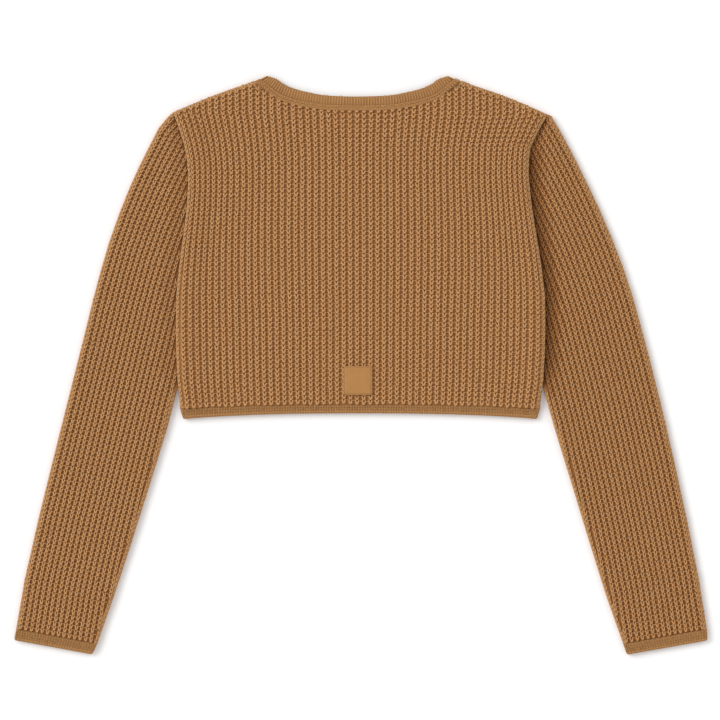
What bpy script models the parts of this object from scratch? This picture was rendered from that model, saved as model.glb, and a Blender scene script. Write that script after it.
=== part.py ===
"""Cropped knit pullover, lying flat on its front with its back upwards.

Nine pieces, each one closed solid: back, front, sleeve_left, sleeve_right, neckband,
hem_band, cuff_left, cuff_right and label_patch.  Neighbours stay a seam gap apart.

+X runs towards the wearer's right sleeve, +Y towards the neck and +Z up from the
surface that the garment rests on.  Sizes are in millimetres; MM turns them to metres.
"""
import math

import bmesh
import bpy
import numpy as np

MM = 0.001

# ------------------------------------------------------------------ driving sizes

SEAM_GAP = 0.4          # clearance between pieces that are sewn or linked together
BACK_NECK_GAP = 0.65    # the same along the back neck, where the ribs' ends are straight
FOLD_Z = 4.4            # height at which the front and back layers meet at an edge
FRONT_WALL = 3.0        # top of the lower layer, whose underside lies on z = 0
BACK_UNDER = 5.0        # underside of the upper layer of the body
BACK_BASE = 7.2         # valleys between the ribs of the back
RIB_HEIGHT = 1.6        # how far a rib stands up from its valleys
EDGE_ROLL = 12.0        # width over which a folded edge rounds down
LIP = 3.0               # width of the face where two layers meet at a closed edge
SIDE_PUFF = 1.8         # extra height of the rounded body side below the armhole
PUFF_INSET = 15.0       # distance of that swelling from the side
PUFF_OPEN = 0.4         # share of it that is left along the open armhole
PUFF_INSIDE = 0.8       # share of it on the inner face
ARMHOLE_Z = 6.3         # top of the cloth where it dips into the armhole seam
ARMHOLE_ROLL = 6.0
LINKED_Z = 7.3          # top of a panel where a band is linked to it
LINKED_ROLL = 4.0
UNDERARM_Y = 62.0       # the armholes are open above this height
UNDERARM_BLEND = 14.0
FRONT_ROLL = 10.0       # width over which the lower layer's underside rounds up
FRONT_ARMHOLE_Z = 0.5   # how far that underside lifts along the open armhole

BACK_RIBS = 54          # ribs across the body
SIDE_STRIP = 6.0        # plain strip between the outermost rib and the side
CHEST_Y = 48.0          # height at which the ribs are evenly spaced
RIB_FAN = 4             # how fast the fanning of the ribs fades away from the sides
RIB_CROWD = 0.055       # how much the ribs crowd at the armholes
CROWD_HEIGHTS = (30.0, 180.0)       # where the crowding starts and is full
CROWD_POWER = 5
LIP_FADE = 24           # the same for the inner face's inset at a closed side
NECK_INSET = 0.35       # inset of the inner face along the neck, as a share of the lip
# heights of the panels' sections, as shares from the hem to the shoulder's rounding,
# and then as falls below the top edge
PANEL_SHARES = (0.0, 0.015, 0.1, 0.2, 0.3, 0.4, 0.5, 0.6, 0.7, 0.77, 0.83, 0.88, 0.93, 1.0)
PANEL_FALLS = (6.0, 2.5, 0.8, 0.0)
LEAN_HEIGHTS = (275.0, 312.0)   # columns that end in a neck corner lean between these
SEARCH_HEIGHTS = (150.0, 330.0)     # the top edge lies between these
BACK_INNER_COLUMNS = 25
SIDE_COLUMNS = (0.0, 1.2, 3.4)      # the back's columns outside its ribs
FRONT_SIDE_COLUMNS = (0.0, 1.2, 5.0, 12.0, 41.0)
SIDE_SAMPLES = 60
BISECTIONS = 40         # steps of each search by halving

# The two sides of the body, hem to shoulder tip.
# height, left edge, right edge
BODY_SIDES = (
    (-42.0, -198.8, 197.7),
    (-24.0, -201.0, 200.5),
    (0.0, -202.5, 202.4),
    (48.0, -203.6, 203.8),
    (90.0, -202.1, 202.3),
    (121.0, -198.3, 197.7),
    (174.0, -191.5, 189.2),
    (223.0, -190.6, 185.4),
    (244.0, -194.2, 188.0),
    (257.0, -198.6, 194.6),
    (273.0, -204.3, 204.6),
    (279.0, -207.0, 207.5),
)

NECK_X = -3.3           # the neck's own centre line
NECK_CORNER = (114.3, 313.2)    # where a shoulder seam starts, from that centre line
SHOULDER_TIP_DROP = {-1: 0.0, 1: 2.4}   # how far each tip lies below the table's end
SHOULDER_BOW = {-1: 1.5, 1: 2.0}    # how far each shoulder seam bows up
SHOULDER_POINTS = 7
NECK_INSET_BLEND = (-6.0, 2.0)

# Back neck, centre to side: seam edge and free edge of the band.
# seam x, seam y, free x, free y
BACK_NECK = (
    (0.0, 280.5, 0.0, 296.5),
    (20.0, 280.8, 19.4, 296.9),
    (40.8, 281.8, 39.0, 298.3),
    (54.8, 283.8, 51.7, 300.7),
    (72.4, 287.5, 67.1, 304.4),
    (90.1, 294.5, 81.9, 310.4),
    (98.9, 301.4, 88.6, 315.4),
)
NECK_FOLD = (113.4, 313.2, 97.7, 321.2)
FRONT_NECK_Y = 219.0    # lowest point of the front neck seam
FRONT_NECK_TOP = 300.0  # height at which the front neck runs straight up
FRONT_NECK_HALF = 111.0
NECKBAND_WIDTH = 17.0
FRONT_NECK_STEP = 15    # degrees between the sections of the front neck
NECK_RIB_PITCH = 3.1
NECK_RIB_HEIGHT = 0.7

HEM_Y = -41.8           # top of the hem band at the centre
HEM_DROP = 4.8          # how much lower that line is at the sides
HEM_BAND_WIDTH = 10.0
HEM_CORNER_EXTRA = 1.4  # how much wider the band is at the sides
HEM_CURVE = 2.4         # power of the hem's curve
HEM_FOLD_TAPER = 3.4    # how far the band's free corners draw in
HEM_CORNER_POWER = 6    # how close to its ends they do so
HEM_END_INSET = 9.0     # distance of the band's outermost flat sections from its ends
BAND_COLUMNS = 28

# Sleeves: outer folded edge from the shoulder tip to the cuff.
# height, left x, right x
SLEEVE_OUTER = (
    (279.0, -207.2, 207.0),
    (268.4, -217.6, 214.0),
    (243.1, -231.8, 228.1),
    (210.1, -248.1, 244.9),
    (177.1, -262.0, 260.8),
    (144.1, -274.2, 275.2),
    (94.6, -288.8, 293.9),
    (28.6, -305.4, 312.6),
    (-37.4, -322.0, 329.6),
    (-103.4, -338.6, 345.0),
    (-169.4, -354.8, 359.3),
    (-235.4, -369.8, 372.6),
    (-289.0, -379.0, 381.2),
)
# Sleeves: inner edge from where it leaves the body to the cuff.
# height, left x, right x
SLEEVE_INNER = (
    (-24.0, -201.6, 201.1),
    (-37.4, -202.6, 204.6),
    (-53.9, -208.0, 209.0),
    (-86.9, -218.8, 219.6),
    (-136.4, -233.8, 234.4),
    (-202.4, -254.7, 254.6),
    (-268.4, -276.6, 275.6),
    (-306.0, -290.0, 289.2),
)
BODY_CLEARANCE = 0.7    # between a sleeve's inner edge and the body's side
# Heights on the outer edge at which a sleeve has a ring below the body's split; above
# it the rings end at the points of the body's own side.
SLEEVE_RINGS = (-40.0, -103.0, -169.0, -235.0, -289.0)
SLEEVE_TIP = 2.0        # the topmost ring ends at least this far below the shoulder tip
RING_REACH = 90.0       # a ring starts at most this far above its inner end
SEARCH_WIDTH = 150.0
EDGE_STEP = 2.0         # a ring is square to this much of the outer edge on each side
CUFF_TURN_START = -150.0    # below this the rings turn to the cuff's own slant
CUFF_SLANT = {"left": (88.0, -16.1), "right": (-91.6, -16.2)}
SLEEVE_UNDER = 4.7      # underside of the upper layer of a sleeve
SLEEVE_BASE = 6.6       # valleys between its ribs
SLEEVE_FLOOR = 2.8      # top of its lower layer
SLEEVE_ARMHOLE_Z = 6.0  # top of its cloth in the armhole seam
SLEEVE_RIB_PITCH = 6.05
SLEEVE_FOLD_COLUMNS = (7.0, 3.4, 1.0)
SLEEVE_LIP_COLUMNS = (0.0, 1.2, 4.2)
SLEEVE_FLAT_COLUMNS = 6     # across its underside
SLEEVE_UNDER_LIPS = (5.0, 1.2, 0.0)
# columns of the inner face, as shares of its reach from the folded edge
SLEEVE_SPOTS = (1.0, 0.96, 0.75, 0.5, 0.25, 0.06)
RIB_END_MARGIN = 0.4    # a rib column closer than this to the lip is left out
FULL_WIDTH = 30.0       # narrower rings shrink their rounded edges in proportion
ROLL_LIMIT = 2.2        # a rounded edge takes at most a ring's width over this

CUFF_TAPER = 0.965      # free edge of a cuff against its seam edge
CUFF_SWEEP = {"left": (-4.0, -12.0), "right": (2.5, -12.3)}
CUFF_SPAN = (0.12, 0.88)    # its flat sections, as shares of its width
CUFF_COLUMNS = 9

PATCH_CENTRE = (-3.0, -15.9)
PATCH_SIDE = 31.9
PATCH_CORNER = 3.2
PATCH_CORNER_STEPS = 5
PATCH_CORNER_SHRINK = 0.8   # how the corner radius follows the inset
PATCH_LIFT = 0.3        # clear of the rib tops
PATCH_THICKNESS = 1.5
# rings of the patch from its rim inwards: inset, height above its underside
PATCH_RINGS = ((0.0, 0.0), (0.0, 1.1), (0.5, PATCH_THICKNESS), (1.3, PATCH_THICKNESS),
               (1.7, 1.2), (2.1, PATCH_THICKNESS))

# Sections of the bands: share of the width, height over the middle surface, rib share
NECK_PROFILE = ((0.0, 1.0, 0.0), (0.13, 1.8, 0.0), (0.27, 1.0, 0.6),
                (0.93, 1.0, 1.0), (1.0, 0.2, 0.5))
BAND_PROFILE = ((0.0, 0.9, 0.0), (0.14, 1.4, 0.0), (0.9, 1.2, 0.0), (1.0, 0.1, 0.0))
BAND_INNER = ((0.0, -1.2), (1.0, -0.9))
BAND_HALF = 1.2         # half of a band's thickness
BAND_BACK_Z = 6.0       # middle surface of a band's upper layer
BAND_FRONT_Z = 1.2      # and of its lower layer
FOLD_RADIUS = 0.5 * (BAND_BACK_Z - BAND_FRONT_Z)
FOLD_STEPS = (60.0, 20.0, -20.0, -60.0)     # degrees round a band's fold
RIBBED_THINNING = 6     # a band's inner face keeps one section in this many
PLAIN_THINNING = 2

SHARP_ANGLE = 30.0      # degrees between faces past which an edge is shaded crisp
YARN = (0.41, 0.20, 0.085, 1.0)
BAND_YARN = (0.38, 0.19, 0.085, 1.0)
LEATHER = (0.48, 0.25, 0.09, 1.0)
KNIT_ROUGHNESS = 0.9
LEATHER_ROUGHNESS = 0.5

# ------------------------------------------------------------------ curves


def smooth_through(xs, ys):
    """A smooth curve through the rows of a table, as a function of its first column."""
    xs = np.asarray(xs, float)
    ys = np.asarray(ys, float)
    slopes = np.gradient(ys, xs)

    def at(x):
        x = np.clip(np.asarray(x, float), xs[0], xs[-1])
        i = np.clip(np.searchsorted(xs, x, side="right") - 1, 0, len(xs) - 2)
        step = xs[i + 1] - xs[i]
        t = (x - xs[i]) / step
        rise = ys[i + 1] - ys[i]
        bend = (slopes[i] + slopes[i + 1]) * step - 2 * rise
        lean = 3 * rise - (2 * slopes[i] + slopes[i + 1]) * step
        return ys[i] + t * (slopes[i] * step + t * (lean + t * bend))

    return at


def table_curve(table, column):
    """The smooth curve of one column of a table against its first, either way up."""
    rows = sorted(table)
    return smooth_through([row[0] for row in rows], [row[column] for row in rows])


def roll(t):
    """Rise of a rounded edge: 0 at the edge, 1 from t = 1 on."""
    t = np.clip(t, 0.0, 1.0)
    return np.sqrt(1.0 - (1.0 - t) ** 2)


def blend(low, high, x):
    """0 below low, 1 above high, and smooth between them."""
    t = np.clip((np.asarray(x, float) - low) / (high - low), 0.0, 1.0)
    return t * t * (3.0 - 2.0 * t)


def distance_to(line, points):
    """Shortest distance in the plane from each point to a polyline."""
    line = np.asarray(line, float)
    points = np.asarray(points, float)
    best = np.full(len(points), np.inf)
    for start, end in zip(line[:-1], line[1:]):
        run = end - start
        t = np.clip(((points - start) @ run) / max(run @ run, 1e-9), 0.0, 1.0)
        gap = points - (start + t[:, None] * run)
        best = np.minimum(best, np.hypot(gap[:, 0], gap[:, 1]))
    return best


body_left = table_curve(BODY_SIDES, 1)
body_right = table_curve(BODY_SIDES, 2)


def armhole_share(y):
    """1 along the open armhole, 0 along the closed side seam below it."""
    return blend(UNDERARM_Y - UNDERARM_BLEND, UNDERARM_Y + UNDERARM_BLEND, y)


def hem_line(x):
    """Height of the line where the hem band is linked on."""
    return HEM_Y - HEM_DROP * (np.abs(x) / abs(BODY_SIDES[0][1])) ** HEM_CURVE


def shoulder_line(sign):
    """Points of a shoulder seam, shoulder tip to neck corner."""
    tip = BODY_SIDES[-1][0] - SHOULDER_TIP_DROP[sign]
    start = np.array([float(body_left(tip) if sign < 0 else body_right(tip)), tip])
    end = np.array([NECK_X + sign * NECK_CORNER[0], NECK_CORNER[1]])
    points = []
    for t in np.linspace(0.0, 1.0, SHOULDER_POINTS):
        bow = SHOULDER_BOW[sign] * math.sin(math.pi * t)
        points.append(start + t * (end - start) + np.array([0.0, bow]))
    return np.array(points)


def neck_fold(sign):
    """The folded end of the neckband on one side, and its direction outwards."""
    seam_x, seam_y, free_x, free_y = NECK_FOLD
    fold = np.array([NECK_X + sign * seam_x, seam_y, NECK_X + sign * free_x, free_y])
    run = fold[2:] - fold[:2]
    across = np.array([-run[1], run[0]]) / np.hypot(*run)
    return fold, across if across[1] > 0 else -across


def fold_row(end):
    """The section where a band's upper and lower layers run into its folded end."""
    fold, out = end
    return fold - np.tile(out, 2) * (FOLD_RADIUS + BAND_HALF)


def resample(rows, pitch):
    """Rows of a band's sections, an even number of pitches apart along its middle."""
    rows = np.asarray(rows, float)
    middle = 0.5 * (rows[:, :2] + rows[:, 2:])
    steps = np.hypot(*np.diff(middle, axis=0).T)
    along = np.concatenate([[0.0], np.cumsum(steps)])
    curves = [smooth_through(along, rows[:, k]) for k in range(4)]
    spots = np.linspace(0.0, along[-1], 2 * round(0.5 * along[-1] / pitch) + 1)
    return np.column_stack([curve(spots) for curve in curves])


def back_neck_rows():
    """Sections of the neckband along the back neck, left to right, half a rib apart."""
    half = [(NECK_X + a, b, NECK_X + c, d) for a, b, c, d in BACK_NECK[1:]]
    left = [(2 * NECK_X - a, b, 2 * NECK_X - c, d) for a, b, c, d in reversed(half)]
    centre = [(NECK_X, BACK_NECK[0][1], NECK_X, BACK_NECK[0][3])]
    rows = [fold_row(neck_fold(-1)), *left, *centre, *half, fold_row(neck_fold(1))]
    return resample(rows, 0.5 * NECK_RIB_PITCH)


def back_neck_seam():
    """Points of the back neck edge, left to right, just below the band."""
    xs, ys = back_neck_rows()[:, :2].T
    slope = np.gradient(ys, xs)
    length = np.hypot(slope, 1.0)
    return np.column_stack([xs + BACK_NECK_GAP * slope / length,
                            ys - BACK_NECK_GAP / length])


def front_neck_angles():
    """Angles of the front neck's sections, left side to right side."""
    return range(-90, 91, FRONT_NECK_STEP)


def front_neck_point(angle, inset):
    """A point of the front neck, at an inset from its seam towards the opening."""
    a = math.radians(angle)
    x = NECK_X + (FRONT_NECK_HALF - inset) * math.sin(a)
    drop = FRONT_NECK_TOP - FRONT_NECK_Y - inset
    return x, FRONT_NECK_TOP - drop * math.cos(a)


def front_neck_seam():
    """Points of the front neck edge, left to right, just outside the band."""
    ends = []
    for sign in (-1, 1):
        x, y = fold_row(neck_fold(sign))[:2]
        ends.append((x + sign * SEAM_GAP, y))
    points = [front_neck_point(a, -SEAM_GAP) for a in front_neck_angles()]
    return np.array([ends[0], *points, ends[1]])


# ------------------------------------------------------------------ solids

class Solid:
    """Points and faces of one closed body."""

    def __init__(self):
        self.points = []
        self.faces = []

    def add(self, points):
        """Add a run of points and return their numbers."""
        first = len(self.points)
        self.points.extend(tuple(float(c) for c in p) for p in points)
        return list(range(first, len(self.points)))

    def face(self, *corners):
        """Add a face, leaving out corners that repeat."""
        ring = []
        for corner in corners:
            if corner not in ring:
                ring.append(corner)
        if len(ring) > 2:
            self.faces.append(ring)

    def sheet(self, rows, closed=False):
        """Join rows of equal length; a closed sheet also joins each row's ends."""
        for low, high in zip(rows[:-1], rows[1:]):
            for j in range(len(low) - 1):
                self.face(low[j], low[j + 1], high[j + 1], high[j])
            if closed:
                self.face(low[-1], low[0], high[0], high[-1])

    def bridge(self, a, b):
        """Join two runs of points of any lengths with a strip of triangles."""
        i = j = 0
        while i < len(a) - 1 or j < len(b) - 1:
            reach_a = (i + 1) / (len(a) - 1) if i < len(a) - 1 else 2.0
            reach_b = (j + 1) / (len(b) - 1) if j < len(b) - 1 else 2.0
            if reach_a <= reach_b:
                self.face(a[i], a[i + 1], b[j])
                i += 1
            else:
                self.face(a[i], b[j + 1], b[j])
                j += 1

    def rim(self, fine, coarse, picked):
        """Join a closed fine ring to a ring that holds only the picked columns."""
        count = len(fine)
        for j, start in enumerate(picked):
            after = picked[(j + 1) % len(picked)]
            stop = after if after > start else after + count
            far = coarse[(j + 1) % len(coarse)]
            half = (start + stop) // 2
            for k in range(start, half):
                self.face(fine[k % count], fine[(k + 1) % count], coarse[j])
            self.face(fine[half % count], far, coarse[j])
            for k in range(half, stop):
                self.face(fine[k % count], fine[(k + 1) % count], far)

    def build(self, name, colour, roughness):
        """Make the object, with its faces turned outwards and its own material."""
        bm = bmesh.new()
        corners = [bm.verts.new([c * MM for c in p]) for p in self.points]
        for ring in self.faces:
            bm.faces.new([corners[k] for k in ring])
        loose = [v for v in bm.verts if not v.link_faces]
        bmesh.ops.delete(bm, geom=loose, context="VERTS")
        bmesh.ops.triangulate(bm, faces=bm.faces[:])
        bmesh.ops.recalc_face_normals(bm, faces=bm.faces[:])
        mesh = bpy.data.meshes.new(name)
        bm.to_mesh(mesh)
        bm.free()
        mesh.shade_smooth()
        mesh.set_sharp_from_angle(angle=math.radians(SHARP_ANGLE))
        mesh.materials.append(make_material(name + "_finish", colour, roughness))
        obj = bpy.data.objects.new(name, mesh)
        bpy.context.scene.collection.objects.link(obj)
        return obj


def make_material(name, colour, roughness):
    """A plain Principled material."""
    material = bpy.data.materials.new(name)
    material.use_nodes = True
    shader = material.node_tree.nodes["Principled BSDF"]
    shader.inputs["Base Color"].default_value = colour
    shader.inputs["Roughness"].default_value = roughness
    shader.inputs["Metallic"].default_value = 0.0
    material.diffuse_color = colour
    return material


# ------------------------------------------------------------------ body panels

def panel_x(u, y, lip=0.0):
    """Where the column u (0 at the left side, 1 at the right) lies at a height."""
    chest_left = float(body_left(CHEST_Y))
    chest_right = float(body_right(CHEST_Y))
    across = 2.0 * u - 1.0
    crowd = RIB_CROWD * blend(*CROWD_HEIGHTS, y)
    across = across + crowd * (across - across ** CROWD_POWER)
    even = chest_left + 0.5 * (1.0 + across) * (chest_right - chest_left)
    fan_left = (body_left(y) - chest_left) * (1.0 - u) ** RIB_FAN
    fan_right = (body_right(y) - chest_right) * u ** RIB_FAN
    inset = lip * (1.0 - armhole_share(y)) * ((1.0 - u) ** LIP_FADE - u ** LIP_FADE)
    return even + fan_left + fan_right + inset


def column_through(x, y):
    """The column that passes through a point."""
    low, high = 0.0, 1.0
    for _ in range(BISECTIONS):
        middle = 0.5 * (low + high)
        if float(panel_x(middle, y)) < x:
            low = middle
        else:
            high = middle
    return low


class Outline:
    """The top edge of a body panel: two shoulders and a neck line."""

    def __init__(self, neck):
        self.neck = neck
        self.left = shoulder_line(-1)
        self.right = shoulder_line(1)[::-1]
        self.top = np.vstack([self.left, neck, self.right])
        heights = np.linspace(BODY_SIDES[0][0], BODY_SIDES[-1][0], SIDE_SAMPLES)
        self.side_left = np.column_stack([body_left(heights), heights])
        self.side_right = np.column_stack([body_right(heights), heights])

    def top_at(self, x):
        """Height of the top edge at x."""
        return np.interp(x, self.top[:, 0], self.top[:, 1])

    def top_inset(self, x):
        """Share of the lip by which the inner face is inset: less along the neck."""
        reach = abs(x - NECK_X) - NECK_CORNER[0]
        return NECK_INSET + (1.0 - NECK_INSET) * float(blend(*NECK_INSET_BLEND, reach))

    def column(self, u, lip=0.0, lean=0.0):
        """Points of the column u, hem to top edge; it leans aside by lean at its top."""
        def x_at(y):
            share = float(blend(*LEAN_HEIGHTS, y))
            return float(panel_x(u + lean * share, y, lip))

        low, high = SEARCH_HEIGHTS
        for _ in range(BISECTIONS):
            middle = 0.5 * (low + high)
            if float(self.top_at(x_at(middle))) > middle:
                low = middle
            else:
                high = middle
        top = low - lip * self.top_inset(x_at(low))
        bottom = float(hem_line(x_at(BODY_SIDES[0][0]))) + SEAM_GAP
        heights = [bottom + s * (top - EDGE_ROLL - bottom) for s in PANEL_SHARES]
        heights += [top - fall for fall in PANEL_FALLS]
        return [(x_at(y), y) for y in heights]

    def leans(self, columns):
        """How far each column leans, so that some end in the neck's corners and folds."""
        leans = [0.0] * len(columns)
        for sign in (-1, 1):
            corner = (NECK_X + sign * NECK_CORNER[0], NECK_CORNER[1])
            for x, y in (corner, self.neck[0 if sign < 0 else -1]):
                u = column_through(x, y)
                nearest = int(np.argmin(np.abs(np.array(columns) - u)))
                leans[nearest] = (u - columns[nearest]) / float(blend(*LEAN_HEIGHTS, y))
        return leans

    def distances(self, points):
        """How far each point is from the sides, shoulders, neck and hem."""
        points = np.asarray(points)
        sides = np.minimum(distance_to(self.side_left, points),
                           distance_to(self.side_right, points))
        shoulders = np.minimum(distance_to(self.left, points),
                               distance_to(self.right, points))
        hem = points[:, 1] - hem_line(points[:, 0]) - SEAM_GAP
        return sides, shoulders, distance_to(self.neck, points), hem


def puff(sides, y):
    """Swelling of the body's rounded sides."""
    bell = np.exp(-((sides - PUFF_INSET) / PUFF_INSET) ** 2)
    return SIDE_PUFF * bell * (1.0 - (1.0 - PUFF_OPEN) * armhole_share(y))


def back_top(outline, points, ribs):
    """Height of the back's outer face."""
    points = np.asarray(points)
    y = points[:, 1]
    sides, shoulders, neck, hem = outline.distances(points)
    crown = BACK_BASE + RIB_HEIGHT * ribs + puff(sides, y)
    lip = FOLD_Z + SEAM_GAP / 2
    opened = armhole_share(y)
    edge = lip + (ARMHOLE_Z - lip) * opened
    width = EDGE_ROLL + (ARMHOLE_ROLL - EDGE_ROLL) * opened
    z = edge + (crown - edge) * roll(sides / width)
    z = np.minimum(z, lip + (crown - lip) * roll(shoulders / EDGE_ROLL))
    z = np.minimum(z, LINKED_Z + (crown - LINKED_Z) * roll(neck / LINKED_ROLL))
    return np.minimum(z, LINKED_Z + (crown - LINKED_Z) * roll(hem / LINKED_ROLL))


def back_under(outline, points):
    """Height of the back's inner face."""
    points = np.asarray(points)
    sides, shoulders, _, _ = outline.distances(points)
    crown = BACK_UNDER + PUFF_INSIDE * puff(sides, points[:, 1])
    lip = FOLD_Z + SEAM_GAP / 2
    edge = lip + (BACK_UNDER - lip) * armhole_share(points[:, 1])
    z = edge + (crown - edge) * roll((sides - LIP) / (EDGE_ROLL - LIP))
    return np.minimum(z, lip + (crown - lip) * roll((shoulders - LIP) / EDGE_ROLL))


def front_under(outline, points):
    """Height of the front's outer face, flat on the floor inside its rounded edges."""
    points = np.asarray(points)
    sides, shoulders, _, _ = outline.distances(points)
    opened = armhole_share(points[:, 1])
    lip = FOLD_Z - SEAM_GAP / 2
    edge = lip * (1.0 - opened) + FRONT_ARMHOLE_Z * opened
    z = edge * (1.0 - roll(sides / FRONT_ROLL))
    return np.maximum(z, lip * (1.0 - roll(shoulders / FRONT_ROLL)))


def front_top(outline, points):
    """Height of the front's inner face."""
    points = np.asarray(points)
    sides, shoulders, _, _ = outline.distances(points)
    rise = FOLD_Z - SEAM_GAP / 2 - FRONT_WALL
    closed = 1.0 - armhole_share(points[:, 1])
    width = EDGE_ROLL - LIP
    z = FRONT_WALL + rise * closed * (1.0 - roll((sides - LIP) / width))
    return np.maximum(z, FRONT_WALL + rise * (1.0 - roll((shoulders - LIP) / width)))


def panel_solid(outline, columns, ribs, top, under, inner_columns):
    """A body panel: a ribbed or plain outer face, a plain inner face and its rims."""
    solid = Solid()
    outer = []
    for u, lean, rib in zip(columns, outline.leans(columns), ribs):
        points = outline.column(u, 0.0, lean)
        heights = top(outline, points, rib)
        outer.append(solid.add([(x, y, z) for (x, y), z in zip(points, heights)]))
    inner = []
    for u, lean in zip(inner_columns, outline.leans(inner_columns)):
        points = outline.column(u, LIP, lean)
        heights = under(outline, points)
        inner.append(solid.add([(x, y, z) for (x, y), z in zip(points, heights)]))
    solid.sheet(outer)
    solid.sheet(inner)
    solid.bridge([c[0] for c in outer], [c[0] for c in inner])
    solid.bridge([c[-1] for c in outer], [c[-1] for c in inner])
    solid.bridge(outer[0], inner[0])
    solid.bridge(outer[-1], inner[-1])
    return solid


def back_columns():
    """Columns of the back's outer face, with the rib share of each."""
    width = float(body_right(CHEST_Y) - body_left(CHEST_Y))
    strip = SIDE_STRIP / width
    edge = [c / width for c in SIDE_COLUMNS]
    ribbed = list(np.linspace(strip, 1.0 - strip, 2 * BACK_RIBS + 1))
    columns = edge + ribbed + [1.0 - u for u in reversed(edge)]
    plain = [0.0] * len(edge)
    ribs = plain + [float(k % 2) for k in range(len(ribbed))] + plain
    return columns, ribs


def make_back(outline):
    """The back panel, ribbed on its outer face."""
    columns, ribs = back_columns()
    inner_columns = list(np.linspace(0.0, 1.0, BACK_INNER_COLUMNS))
    solid = panel_solid(outline, columns, ribs, back_top, back_under, inner_columns)
    return solid.build("back", YARN, KNIT_ROUGHNESS)


def make_front(outline):
    """The front panel, plain, with the lower neck."""
    width = float(body_right(CHEST_Y) - body_left(CHEST_Y))
    left = [c / width for c in FRONT_SIDE_COLUMNS]
    corners = [column_through(NECK_X + sign * NECK_CORNER[0], NECK_CORNER[1])
               for sign in (-1, 1)]
    neck = [column_through(x, y) for x, y in outline.neck]
    columns = left + [corners[0]] + neck + [corners[1]]
    columns += [1.0 - u for u in reversed(left)]
    ribs = [0.0] * len(columns)

    def under(shape, points, _):
        return front_under(shape, points)

    solid = panel_solid(outline, columns, ribs, under, front_top, columns)
    return solid.build("front", YARN, KNIT_ROUGHNESS)


# ------------------------------------------------------------------ bands

def flat_band(name, ends, back, front, profile, rib_height=0.0):
    """A band lying flat: a closed ring of sections, folded at its two ends.

    ends holds the left and right folded ends, each with its direction outwards, back
    and front the sections of the upper and lower layer, left to right.  A section is
    its linked edge's x and y and its free edge's x and y.
    """
    centre_z = 0.5 * (BAND_BACK_Z + BAND_FRONT_Z)

    def arc(end, steps):
        out = np.tile(end[1], 2)
        turns = [math.radians(step) for step in steps]
        return [(fold_row(end) + out * FOLD_RADIUS * math.cos(t),
                 centre_z + FOLD_RADIUS * math.sin(t), 0.0) for t in turns]

    def layer(rows, z):
        last = len(rows) - 1
        ribbed = z == BAND_BACK_Z
        return [(row, z, float(k % 2) if ribbed and 0 < k < last else 0.0)
                for k, row in enumerate(rows)]

    upper = layer(back, BAND_BACK_Z)
    lower = layer(front[::-1], BAND_FRONT_Z)
    loop = upper + arc(ends[1], FOLD_STEPS) + lower + arc(ends[0], FOLD_STEPS[::-1])
    linked = np.array([(*row[:2], z) for row, z, _ in loop])
    free = np.array([(*row[2:], z) for row, z, _ in loop])
    ribs = np.array([rib for _, _, rib in loop])
    middle = 0.5 * (linked + free)
    along = np.roll(middle, -1, axis=0) - np.roll(middle, 1, axis=0)
    normal = np.cross(free - linked, along)
    normal /= np.linalg.norm(normal, axis=1)[:, None]
    if normal[len(upper) // 2, 2] < 0:
        normal = -normal

    def ring(share, height, numbers):
        points = linked + share * (free - linked) + height[:, None] * normal
        points[:, 2] = np.maximum(points[:, 2], 0.0)
        return points[numbers]

    solid = Solid()
    every = np.arange(len(loop))
    outer = [solid.add(ring(s, h + rib_height * weight * ribs, every))
             for s, h, weight in profile]
    sparse = RIBBED_THINNING if rib_height else PLAIN_THINNING
    picked = [k for k in every if k >= len(upper) or k % sparse == 0]
    inner = [solid.add(ring(s, np.full(len(loop), h), picked)) for s, h in BAND_INNER]
    solid.sheet(outer, closed=True)
    solid.sheet(inner, closed=True)
    for fine, coarse in ((outer[0], inner[0]), (outer[-1], inner[-1])):
        solid.rim(fine, coarse, picked)
    return solid.build(name, BAND_YARN, KNIT_ROUGHNESS)


def make_neckband():
    """The ribbed neckband, round the back neck above and the front neck below."""
    ends = [neck_fold(-1), neck_fold(1)]
    back = list(back_neck_rows())
    front = [np.array([*front_neck_point(angle, 0.0),
                       *front_neck_point(angle, NECKBAND_WIDTH)])
             for angle in front_neck_angles()]
    front = [fold_row(ends[0]), *front, fold_row(ends[1])]
    return flat_band("neckband", ends, back, front, NECK_PROFILE, NECK_RIB_HEIGHT)


def make_hem_band():
    """The tubular hem band."""
    low = BODY_SIDES[0][0]
    sides = (float(body_left(low)), float(body_right(low)))
    half = 0.5 * (sides[1] - sides[0])

    def section(x):
        share = (abs(x) / half) ** HEM_CURVE
        top = float(hem_line(x)) - SEAM_GAP / 2
        width = HEM_BAND_WIDTH + HEM_CORNER_EXTRA * share
        draw = HEM_FOLD_TAPER * np.sign(x) * (abs(x) / half) ** HEM_CORNER_POWER
        return np.array([x, top, x - draw, top - width])

    ends = [(section(x), np.array([np.sign(x), 0.0])) for x in sides]
    reach = np.linspace(sides[0] + HEM_END_INSET, sides[1] - HEM_END_INSET, BAND_COLUMNS)
    rows = [section(x) for x in reach]
    rows = [fold_row(ends[0]), *rows, fold_row(ends[1])]
    return flat_band("hem_band", ends, rows, rows, BAND_PROFILE)


def make_cuff(name, seam, sweep):
    """A cuff, from the line across the sleeve's end that it is linked to."""
    start, end = (np.asarray(p, float) for p in seam)
    sweep = np.asarray(sweep, float)
    middle = 0.5 * (start + end)

    def section(t):
        linked = start + t * (end - start)
        free = middle + CUFF_TAPER * (linked - middle) + sweep
        return np.array([*linked, *free])

    along = (end - start) / np.hypot(*(end - start))
    ends = [(section(0.0), -along), (section(1.0), along)]
    rows = [section(t) for t in np.linspace(*CUFF_SPAN, CUFF_COLUMNS)]
    rows = [fold_row(ends[0]), *rows, fold_row(ends[1])]
    return flat_band(name, ends, rows, rows, BAND_PROFILE)


# ------------------------------------------------------------------ sleeves

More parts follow.
